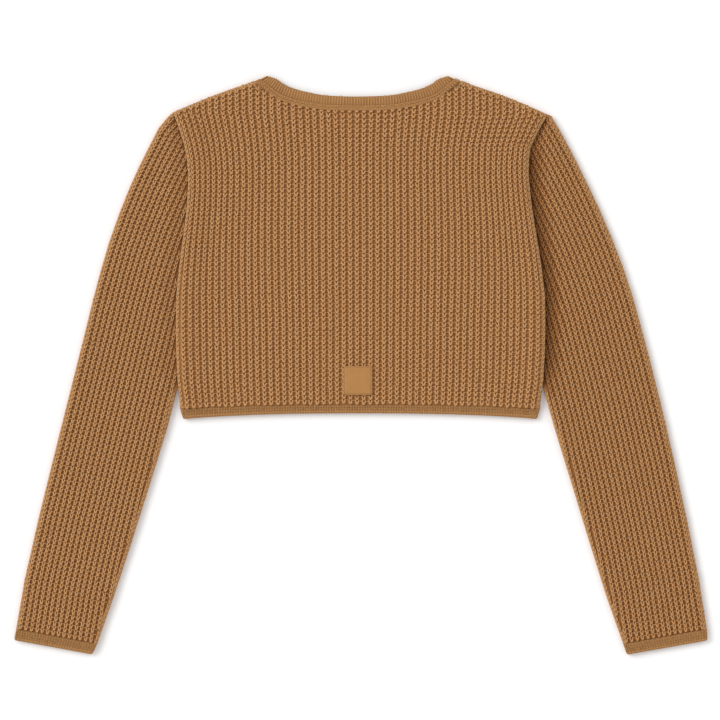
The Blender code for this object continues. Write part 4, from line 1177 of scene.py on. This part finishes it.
class Sleeve:
    """A sleeve in plan, between its outer folded edge and its inner edge."""

    def __init__(self, side):
        plan = Plan("sleeve_" + side)
        self.side = side
        self.sign = -1.0 if side == "left" else 1.0
        far, near = (0, 1) if side == "left" else (1, 0)
        self.tip = corner(plan.points, (0.0, 1.0))
        self.corner = corner(plan.points, (self.sign, 0.0))
        self.heel = corner(plan.points, (0.0, -1.0))
        self.outer = self.trace(plan, self.corner, far)
        self.inner = self.trace(plan, self.heel, near)
        for line in (self.outer, self.inner):
            down = line[0] - line[1]
            line[0] += LINK_TUCK * down / np.hypot(*down)
        beside = self.inner[:, 1] > SPLIT_Y
        self.inner[beside, 0] -= self.sign * SLEEVE_TUCK
        self.length = along(self.outer)[-1]

    def trace(self, plan, start, side):
        """One edge in plan, from the cuff up to the shoulder tip."""
        ys = np.linspace(start[1] + 1.0, self.tip[1] - 1.0, 200)
        line = np.column_stack([plan.edge(1, ys, side), ys])
        return np.vstack([start, line, self.tip])

    def depths(self, x, y):
        """Distances to the outer edge, the inner edge and the cuff's line."""
        outside = self.sign * (np.interp(y, self.outer[:, 1], self.outer[:, 0]) - x)
        inside = self.sign * (x - np.interp(y, self.inner[:, 1], self.inner[:, 0]))
        across = self.heel - self.corner
        across = across / np.hypot(*across)
        up = np.array([-across[1], across[0]])
        if up[1] < 0:
            up = -up
        cuff = (x - self.heel[0]) * up[0] + (y - self.heel[1]) * up[1]
        return SLEEVE_LEAN * outside, SLEEVE_LEAN * inside, cuff

    def beside(self, y):
        """1 where the sleeve lies against the body, 0 well below that."""
        return ease((y - SPLIT_Y + 0.5 * SPLIT_SPAN) / SPLIT_SPAN)

    def fold(self, x, y):
        """Height at which the upper and lower layers would meet."""
        outside, inside, _ = self.depths(x, y)
        share = np.clip(outside / np.maximum(outside + inside, 1.0), 0.0, 1.0)
        return FOLD_Z - SLEEVE_SINK[self.side] * share * self.beside(y)

    def height(self, x, y):
        """Surface of the upper layer under its stitches."""
        outside, inside, cuff = self.depths(x, y)
        crown = SLEEVE_Z + creases(x, y)
        width = np.maximum(outside + inside, 1.0)
        reach = np.minimum(EDGE_ROLL, width / 2.2)
        low, beside = self.fold(x, y), self.beside(y)
        dip = np.minimum(EDGE_ROLL + (SLEEVE_DIP - EDGE_ROLL) * beside, width / 2.0)
        rise = roll(inside / dip) * (1.0 - beside) + ease(inside / dip) * beside
        z = low + (crown - low) * np.minimum(roll(outside / reach), rise)
        return np.minimum(z, LINKED_Z + (crown - LINKED_Z) * roll(cuff / LINKED_ROLL))

    def floor(self, x, y):
        """Underside of the lower layer."""
        outside, inside, _ = self.depths(x, y)
        reach = np.minimum(EDGE_ROLL, np.maximum(outside + inside, 1.0) / 2.2)
        nearest = np.minimum(outside, inside)
        return self.fold(x, y) * (1.0 - roll(nearest / reach))

    def press(self, x, y):
        """How flat the stitches are: 1 away from the body, less beside it."""
        inside = self.depths(x, y)[1]
        return 1.0 - SLEEVE_PRESS * self.beside(y) * (1.0 - ease(inside / SLEEVE_DIP))

    def tone(self, x, y):
        """Tone of the yarn, with a painted shadow beside the body."""
        inside = self.depths(x, y)[1]
        # Painted shadow: strongest at the inner edge beside the body, it fades outwards and
        # towards the shoulder.
        near = self.beside(y) * (1.0 - ease((inside - 3.0) / SLEEVE_DIP))
        near = near * (1.0 - SHADE_FADE * ease((y - SHADE_TOP) / 45.0))
        return SLEEVE_TONE[self.side] + SLEEVE_SHADE[self.side] * near

    def area(self):
        """Area of both layers, in square metres."""
        x, y = np.vstack([self.outer, self.inner[::-1]]).T
        return abs(np.dot(x, np.roll(y, -1)) - np.dot(y, np.roll(x, -1))) * MM * MM


def make_sleeve_wall(sleeve):
    """A sleeve's cloth: a flattened tube, open at the cuff and at the shoulder."""
    # The rings crowd a little towards the shoulder tip, and stop just short of it.
    shares = np.clip(np.linspace(0.0, 1.0, SLEEVE_RINGS) ** 0.9, 0.0, 0.9985)
    outer, inner = (walk(line, shares * along(line)[-1])
                    for line in (sleeve.outer, sleeve.inner))
    run = inner - outer
    width = np.hypot(*run.T)

    def layers(inset, thick):
        spots = [edge_spaced(w, inset, SLEEVE_COLUMNS, min(1.0, w / SLIM)) for w in width]
        share = np.array(spots) / width[:, None]
        plan = outer[:, None, :] + share[..., None] * run[:, None, :]
        x, y = plan[..., 0], plan[..., 1]
        fold = sleeve.fold(x, y)
        upper = np.maximum(sleeve.height(x, y) - thick, fold + 0.02)
        lower = np.minimum(sleeve.floor(x, y) + 1.4 * thick, fold - 0.02)
        return np.concatenate([np.dstack([plan, upper])[:, ::-1],
                               np.dstack([plan, lower])[:, 1:]], axis=1)

    name = "sleeve_" + sleeve.side + "_cloth"
    mesh = wall_mesh(name, layers(0.0, 0.0), layers(SLEEVE_INSET, SLEEVE_WALL), tube=True)
    x, y, _ = mesh_points(mesh).T
    outside, inside, cuff = sleeve.depths(x, y)
    free = np.where(y > SPLIT_Y, outside, np.minimum(outside, inside))
    keep(mesh, "edge", 1.0 - ease((free - FOLD_STRIP) / 1.4))
    # beside holds the sleeve's tone, negated, including its painted shadow next to the body.
    keep(mesh, "beside", -sleeve.tone(x, y))
    keep(mesh, "across", outside * MM)
    keep(mesh, "upwards", cuff * MM)
    mesh.materials.append(cloth_under(0.8))
    mesh.materials.append(plain_knit())
    downwards = [face.normal.z < -0.5 for face in mesh.polygons]
    mesh.polygons.foreach_set("material_index", np.array(downwards, np.int32))
    return new_object(name, mesh)


def wale_line(sleeve):
    """A sleeve's outer edge run on past both its ends, its run and the way inwards."""
    spots = np.arange(-30.0, sleeve.length + 20.0, 1.0)
    held = np.clip(spots, 0.0, sleeve.length)
    run = walk(sleeve.outer, held + 12.0) - walk(sleeve.outer, held - 12.0)
    run /= np.hypot(*run.T)[:, None]
    line = walk(sleeve.outer, held) + (spots - held)[:, None] * run
    return line, run, sleeve.sign * np.column_stack([-run[:, 1], run[:, 0]])


def make_sleeve_stitches(sleeve):
    """A sleeve's wales, which run alongside its outer edge, and its flat columns."""
    knit_sizes = bpy.context.scene.pullover_knit
    rng = np.random.default_rng(knit_sizes.seed + (3 if sleeve.side == "left" else 4))
    course, wale = knit_sizes.sleeve_course / MM, knit_sizes.sleeve_wale / MM
    line, run, inwards = wale_line(sleeve)
    guides, bar_guides = [], []
    for k in range(SLEEVE_WALES):
        column = line + (SLEEVE_FIRST_WALE + k * wale) * inwards
        lengths = along(column)
        start = np.interp(SLEEVE_FIRST_ROW * course, sleeve.depths(*column.T)[2], lengths)
        rows = np.arange(start, lengths[-1], course)
        plan = walk(column, rows)
        outside, inside, _ = sleeve.depths(*plan.T)
        margin = np.where(plan[:, 1] > SPLIT_Y, BESIDE_MARGIN, SLEEVE_MARGIN) * wale
        kept = (inside > margin) & (outside > 3.0) & (plan[:, 1] < sleeve.tip[1] - 3.0)
        if not kept.any():
            continue
        plan, rows, inside = plan[kept], rows[kept], inside[kept]
        up = np.column_stack([np.interp(rows, lengths, c) for c in run.T])
        placed = guide(sleeve.height, plan, up, (wale, course), rng)
        placed[3][:, 2] *= sleeve.press(*plan.T)
        # The stitches take the sleeve's tone, with its painted shadow beside the body.
        placed[4][:] = sleeve.tone(*plan.T)
        guides.append(placed)
        # The strands run to the right, which on the left sleeve is towards its inner edge.
        barred = (inside > BAR_MARGIN * wale) | (sleeve.sign > 0)
        bar_guides.append(tuple(part[barred] for part in placed))
    split = along(sleeve.inner)[np.searchsorted(sleeve.inner[:, 1], SPLIT_Y - 6.0)]
    rolls = []
    for line, sign, end in ((sleeve.outer, sleeve.sign, sleeve.length),
                            (sleeve.inner, -sleeve.sign, split)):
        spots = np.arange(2.0, end - 1.5, course)
        rolls.append(edge_guides(sleeve.height, line, sign, spots, FOLD_SINK, course, rng))
    name = "sleeve_" + sleeve.side
    return [*knit_and_bars(name, SLEEVE_HALF, guides, bar_guides), knit_rolls(name, rolls)]


class PULLOVER_OT_sleeves(bpy.types.Operator):
    """Knit both sleeves: their cloth and their stitches"""

    bl_idname = "pullover.sleeves"
    bl_label = "Sleeves"

    def execute(self, context):
        """Make both sleeves' pieces, attach them and hide their solids."""
        for side in ("left", "right"):
            sleeve = Sleeve(side)
            pieces = [make_sleeve_wall(sleeve), *make_sleeve_stitches(sleeve)]
            declare(pieces, "yarn", "sleeve_" + side,
                    (SLEEVE_GIRTH * MM, sleeve.length * MM), area=sleeve.area())
        return {"FINISHED"}


# ------------------------------------------------------------------ bands

def neck_shift():
    """From the tables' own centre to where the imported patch, and so the neck, lies."""
    low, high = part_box("label_patch")
    middle = 0.5 * (low + high) / MM
    return np.array(middle[:2]) - PATCH_CENTRE


def neck_sections(pitch):
    """Sections of the back neckband, left to right: linked and free points."""
    half = np.array(NECK_ROWS)
    left = half[:0:-1] * np.array([-1.0, 1.0, -1.0, 1.0])
    rows = np.vstack([left, half]) + np.array([NECK_X, 0.0, NECK_X, 0.0])
    rows = rows + np.tile(neck_shift(), 2)
    lengths = along(0.5 * (rows[:, :2] + rows[:, 2:]))
    spots = np.linspace(0.0, lengths[-1], round(lengths[-1] / pitch) + 1)
    return np.column_stack([smooth_through(lengths, column)(spots) for column in rows.T])


def round_corner(mesh, before, tip, after, radius):
    """Round a corner of a band in plan: its points beyond the arc are drawn in to it."""
    sides = [(end - tip) / np.hypot(*(end - tip)) for end in (before, after)]
    half = 0.5 * math.acos(float(np.dot(*sides)))
    inwards = (sides[0] + sides[1]) / np.hypot(*(sides[0] + sides[1]))
    centre = tip + inwards * radius / math.sin(half)
    points = mesh_points(mesh)
    off = points[:, :2] - centre
    far = np.maximum(np.hypot(*off.T), 0.001)
    beyond = (far > radius) & (off @ -inwards > far * math.sin(half))
    points[beyond, :2] = centre + off[beyond] * (radius / far[beyond])[:, None]
    mesh.vertices.foreach_set("co", (points * MM).astype(np.float32).ravel())
    mesh.update()


class PULLOVER_OT_neckband(bpy.types.Operator):
    """Rib the neckband and link it to the neck with two chains"""

    bl_idname = "pullover.neckband"
    bl_label = "Neckband"

    def execute(self, context):
        """Make the neckband's pieces, attach them and hide its solid."""
        bands = context.scene.pullover_bands
        rng = np.random.default_rng(context.scene.pullover_knit.seed + 9)
        cloth = soft_copy("neckband", "neckband_cloth")
        cloth.data.materials.append(band_under())
        rows = neck_sections(bands.rib / MM)
        linked, free = rows[:, :2], rows[:, 2:]
        for end, near in ((0, 3), (-1, -4)):
            round_corner(cloth.data, free[near], free[end], linked[end], NECK_CORNER)
        run = free - linked
        size = np.ones((len(rows), 3))
        size[:, 1] = np.hypot(*run.T) * (1.0 - RIB_START) / RIB_LENGTH
        for k, share in enumerate(CORNER_RIBS):
            size[[k, -1 - k], 1] *= share
        guides = [flat_guide(linked + RIB_START * run, NECK_SURFACE, run, size, rng)]
        rib = yarn_mesh("neck_rib", RIB_PATH, bands.rib_width / MM, RIB_HEIGHT, sides=4)
        ribs = knit("neck_ribs", toned(guides, RIB_TONE), rib, band_knit(), BAND_SPREAD)
        chain = neck_sections(BEAD_PITCH * bands.rib / MM)
        guides = []
        for share, height in zip(BEAD_SHARES, BEAD_HEIGHTS):
            spots = chain[:, :2] + share * (chain[:, 2:] - chain[:, :2])
            guides.append(flat_guide(spots, NECK_SURFACE + height,
                                     np.gradient(spots, axis=0), BEAD_SIZE, rng))
        loop = yarn_mesh("bead_loop", mirrored(KNIT_HALF), *BEAD_YARN)
        beads = knit("neck_beads", toned(guides, BEAD_TONE), loop, band_knit(), BAND_SPREAD)
        flat = tuple(side * MM for side in NECK_FLAT)
        declare([cloth, ribs, beads], "band_yarn", "neckband", flat,
                rests_on=["back", "front"])
        return {"FINISHED"}


def hem_edges(plan):
    """Linked and free edges of the hem band in plan, left to right."""
    low, high = plan.points[:, 0].min(), plan.points[:, 0].max()
    xs = np.linspace(low + 2.5, high - 2.5, 60)
    return (np.column_stack([xs, plan.edge(0, xs, 1) - BAND_INSET]),
            np.column_stack([xs, plan.edge(0, xs, 0) + BAND_INSET]))


def cuff_edges(plan, sign):
    """Linked and free edges of a cuff in plan, left to right."""
    corners = [corner(plan.points, (x * sign, y)) for x, y in CUFF_CORNERS]
    upper, lower = np.array(corners).reshape(2, 2, 2)[:, ::int(-sign)]
    drop = lower.mean(axis=0) - upper.mean(axis=0)
    drop = BAND_INSET * drop / np.hypot(*drop)
    return upper + drop, lower - drop


def fine_rows(upper, lower, z, rng):
    """Guides of fine stitches between a band's linked edge and its free edge."""
    bands = bpy.context.scene.pullover_bands
    course, wale = bands.fine_course / MM, bands.fine_wale / MM
    length = along(0.5 * (upper + lower))[-1]
    share = np.arange(FINE_ENDS, length - FINE_ENDS, wale) / length
    top = walk(upper, share * along(upper)[-1])
    low = walk(lower, share * along(lower)[-1])
    depth = np.hypot(*(top - low).T).mean()
    count = max(1, int(depth / course))
    size = (wale / KNIT_CELL[0], depth / count / KNIT_CELL[1], FINE_LOFT)
    guides = []
    for k in range(count):
        plan = low + (k + 0.42) / count * (top - low)
        plan = plan + rng.normal(0.0, 0.12, plan.shape)
        placed = flat_guide(plan, z - (EDGE_DROP if k == 0 else 0.0), top - low, size, rng)
        tone = EDGE_TONE if k == 0 else rng.normal(0.0, 0.04, len(plan))
        guides += toned([placed], tone)
    return guides


class PULLOVER_OT_lower_bands(bpy.types.Operator):
    """Knit the fine hem band and the two cuffs"""

    bl_idname = "pullover.lower_bands"
    bl_label = "Hem band and cuffs"

    def execute(self, context):
        """Make the bands' pieces, attach them and hide their solids."""
        rng = np.random.default_rng(context.scene.pullover_knit.seed + 11)
        loop = yarn_mesh("fine_loop", mirrored(KNIT_HALF), *FINE_YARN)
        for node, sign in (("hem_band", 0.0), ("cuff_left", -1.0), ("cuff_right", 1.0)):
            cloth = soft_copy(node, node + "_cloth")
            cloth.data.materials.append(band_knit())
            plan = Plan(node)
            upper, lower = cuff_edges(plan, sign) if sign else hem_edges(plan)
            guides = fine_rows(upper, lower, plan.points[:, 2].max() - FINE_SINK, rng)
            stitches = knit(node + "_stitches", guides, loop, band_knit(), BAND_SPREAD)
            girth = 2.0 * along(0.5 * (upper + lower))[-1] * MM
            depth = float(np.hypot(*(upper - lower).T).mean()) * MM + BAND_BEND * MM
            declare([cloth, stitches], "band_yarn", node, (girth, max(depth, BAND_DEPTH)))
        return {"FINISHED"}


# ------------------------------------------------------------------ patch

def rounded_square(side, radius):
    """Outline of a square with rounded corners, about its own centre."""
    half = side / 2 - radius
    points = []
    for quarter in range(4):
        cx = half * (1 if quarter in (0, 3) else -1)
        cy = half * (1 if quarter in (0, 1) else -1)
        for k in range(CORNER_STEPS):
            angle = math.radians(90.0 * (quarter + k / (CORNER_STEPS - 1)))
            points.append((cx + radius * math.cos(angle), cy + radius * math.sin(angle)))
    return points


class PULLOVER_OT_patch(bpy.types.Operator):
    """Make the bare leather patch with its pressed border line"""

    bl_idname = "pullover.patch"
    bl_label = "Patch"

    def execute(self, context):
        """Make the patch."""
        low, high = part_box("label_patch")
        centre = 0.5 * (low + high)
        side = (high.x - low.x) / MM
        bm = bmesh.new()
        pressed = bm.verts.layers.float.new("pressed")
        rings = []
        for inset, height, share in PATCH_RINGS:
            outline = rounded_square(side - 2 * inset, max(PATCH_CORNER - 0.7 * inset, 0.8))
            rings.append([bm.verts.new((centre.x + x * MM, centre.y + y * MM,
                                        low.z + height * MM)) for x, y in outline])
            for vertex in rings[-1]:
                vertex[pressed] = share
        for outer, inner in zip(rings, rings[1:]):
            for j in range(len(outer)):
                bm.faces.new([outer[j - 1], outer[j], inner[j], inner[j - 1]])
        mesh = close_tube("patch_leather", bm, rings)
        mesh.materials.append(patch_leather())
        declare([new_object("patch", mesh)], "leather", "label_patch")
        return {"FINISHED"}


# ------------------------------------------------------------------ studio

class PULLOVER_OT_studio(bpy.types.Operator):
    """Set up the pale floor, the soft lights and the camera straight above"""

    bl_idname = "pullover.studio"
    bl_label = "Studio"

    def execute(self, context):
        """Make the floor, lights, world and camera."""
        studio = context.scene.pullover_studio
        self.make_floor(studio)
        light = bpy.data.lights.new("key", "SUN")
        light.angle = studio.key_spread
        light.energy = studio.key
        lamp = new_object("key", light)
        flat = math.cos(studio.key_height)
        lamp.location = (flat * math.cos(studio.key_side), flat * math.sin(studio.key_side),
                         math.sin(studio.key_height))
        lamp.rotation_euler = lamp.location.to_track_quat("Z", "Y").to_euler()
        world = bpy.data.worlds.new("studio")
        world.use_nodes = True
        sky = world.node_tree.nodes["Background"]
        sky.inputs["Color"].default_value = (1.0, 1.0, 1.0, 1.0)
        sky.inputs["Strength"].default_value = studio.fill
        context.scene.world = world
        camera = bpy.data.cameras.new("camera")
        camera.lens = studio.lens
        camera.sensor_width = SENSOR
        camera.clip_end = 50.0
        holder = new_object("camera", camera)
        x, y, z = (place * MM for place in VIEW_CENTRE)
        holder.location = (x, y, studio.field * studio.lens / SENSOR + z)
        context.scene.camera = holder
        context.scene.view_settings.view_transform = "Standard"
        return {"FINISHED"}

    def make_floor(self, studio):
        """A wide pale floor just under the garment."""
        mesh = bpy.data.meshes.new("floor")
        half = FLOOR_HALF * MM
        corners = [(-half, -half, 0), (half, -half, 0), (half, half, 0), (-half, half, 0)]
        mesh.from_pydata(corners, [], [(0, 1, 2, 3)])
        floor = new_object("floor", mesh)
        material = bpy.data.materials.new("floor")
        material.use_nodes = True
        shader = material.node_tree.nodes["Principled BSDF"]
        shader.inputs["Base Color"].default_value = (*studio.floor, 1.0)
        shader.inputs["Roughness"].default_value = 0.9
        shader.inputs["Specular IOR Level"].default_value = 0.1
        mesh.materials.append(material)


# ------------------------------------------------------------------ add-on

SETTINGS = {
    "pullover_knit": PulloverKnit,
    "pullover_bands": PulloverBands,
    "pullover_colours": PulloverColours,
    "pullover_studio": PulloverStudio,
}
OPERATORS = (
    PULLOVER_OT_back,
    PULLOVER_OT_front,
    PULLOVER_OT_sleeves,
    PULLOVER_OT_neckband,
    PULLOVER_OT_lower_bands,
    PULLOVER_OT_patch,
    PULLOVER_OT_studio,
)


class VIEW3D_PT_pullover(bpy.types.Panel):
    """Sidebar panel with the pullover's settings and steps"""

    bl_label = "Pullover"
    bl_idname = "VIEW3D_PT_pullover"
    bl_space_type = "VIEW_3D"
    bl_region_type = "UI"
    bl_category = "Pullover"

    def draw(self, context):
        """List every setting and every step."""
        for name in SETTINGS:
            group = getattr(context.scene, name)
            box = self.layout.box()
            for prop in group.bl_rna.properties:
                if prop.identifier not in ("rna_type", "name"):
                    box.prop(group, prop.identifier)
        for operator in OPERATORS:
            self.layout.operator(operator.bl_idname)


def register():
    """Register the settings, the steps and the panel."""
    for cls in (*SETTINGS.values(), *OPERATORS, VIEW3D_PT_pullover):
        bpy.utils.register_class(cls)
    for name, cls in SETTINGS.items():
        setattr(bpy.types.Scene, name, bpy.props.PointerProperty(type=cls))


def unregister():
    """Undo register."""
    for name in SETTINGS:
        delattr(bpy.types.Scene, name)
    for cls in reversed((*SETTINGS.values(), *OPERATORS, VIEW3D_PT_pullover)):
        bpy.utils.unregister_class(cls)


def main():
    """Make the whole pullover and its studio."""
    register()
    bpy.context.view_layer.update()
    bpy.ops.pullover.studio()
    bpy.ops.pullover.front()
    bpy.ops.pullover.back()
    bpy.ops.pullover.sleeves()
    bpy.ops.pullover.neckband()
    bpy.ops.pullover.lower_bands()
    bpy.ops.pullover.patch()


if __name__ == "__main__":
    main()
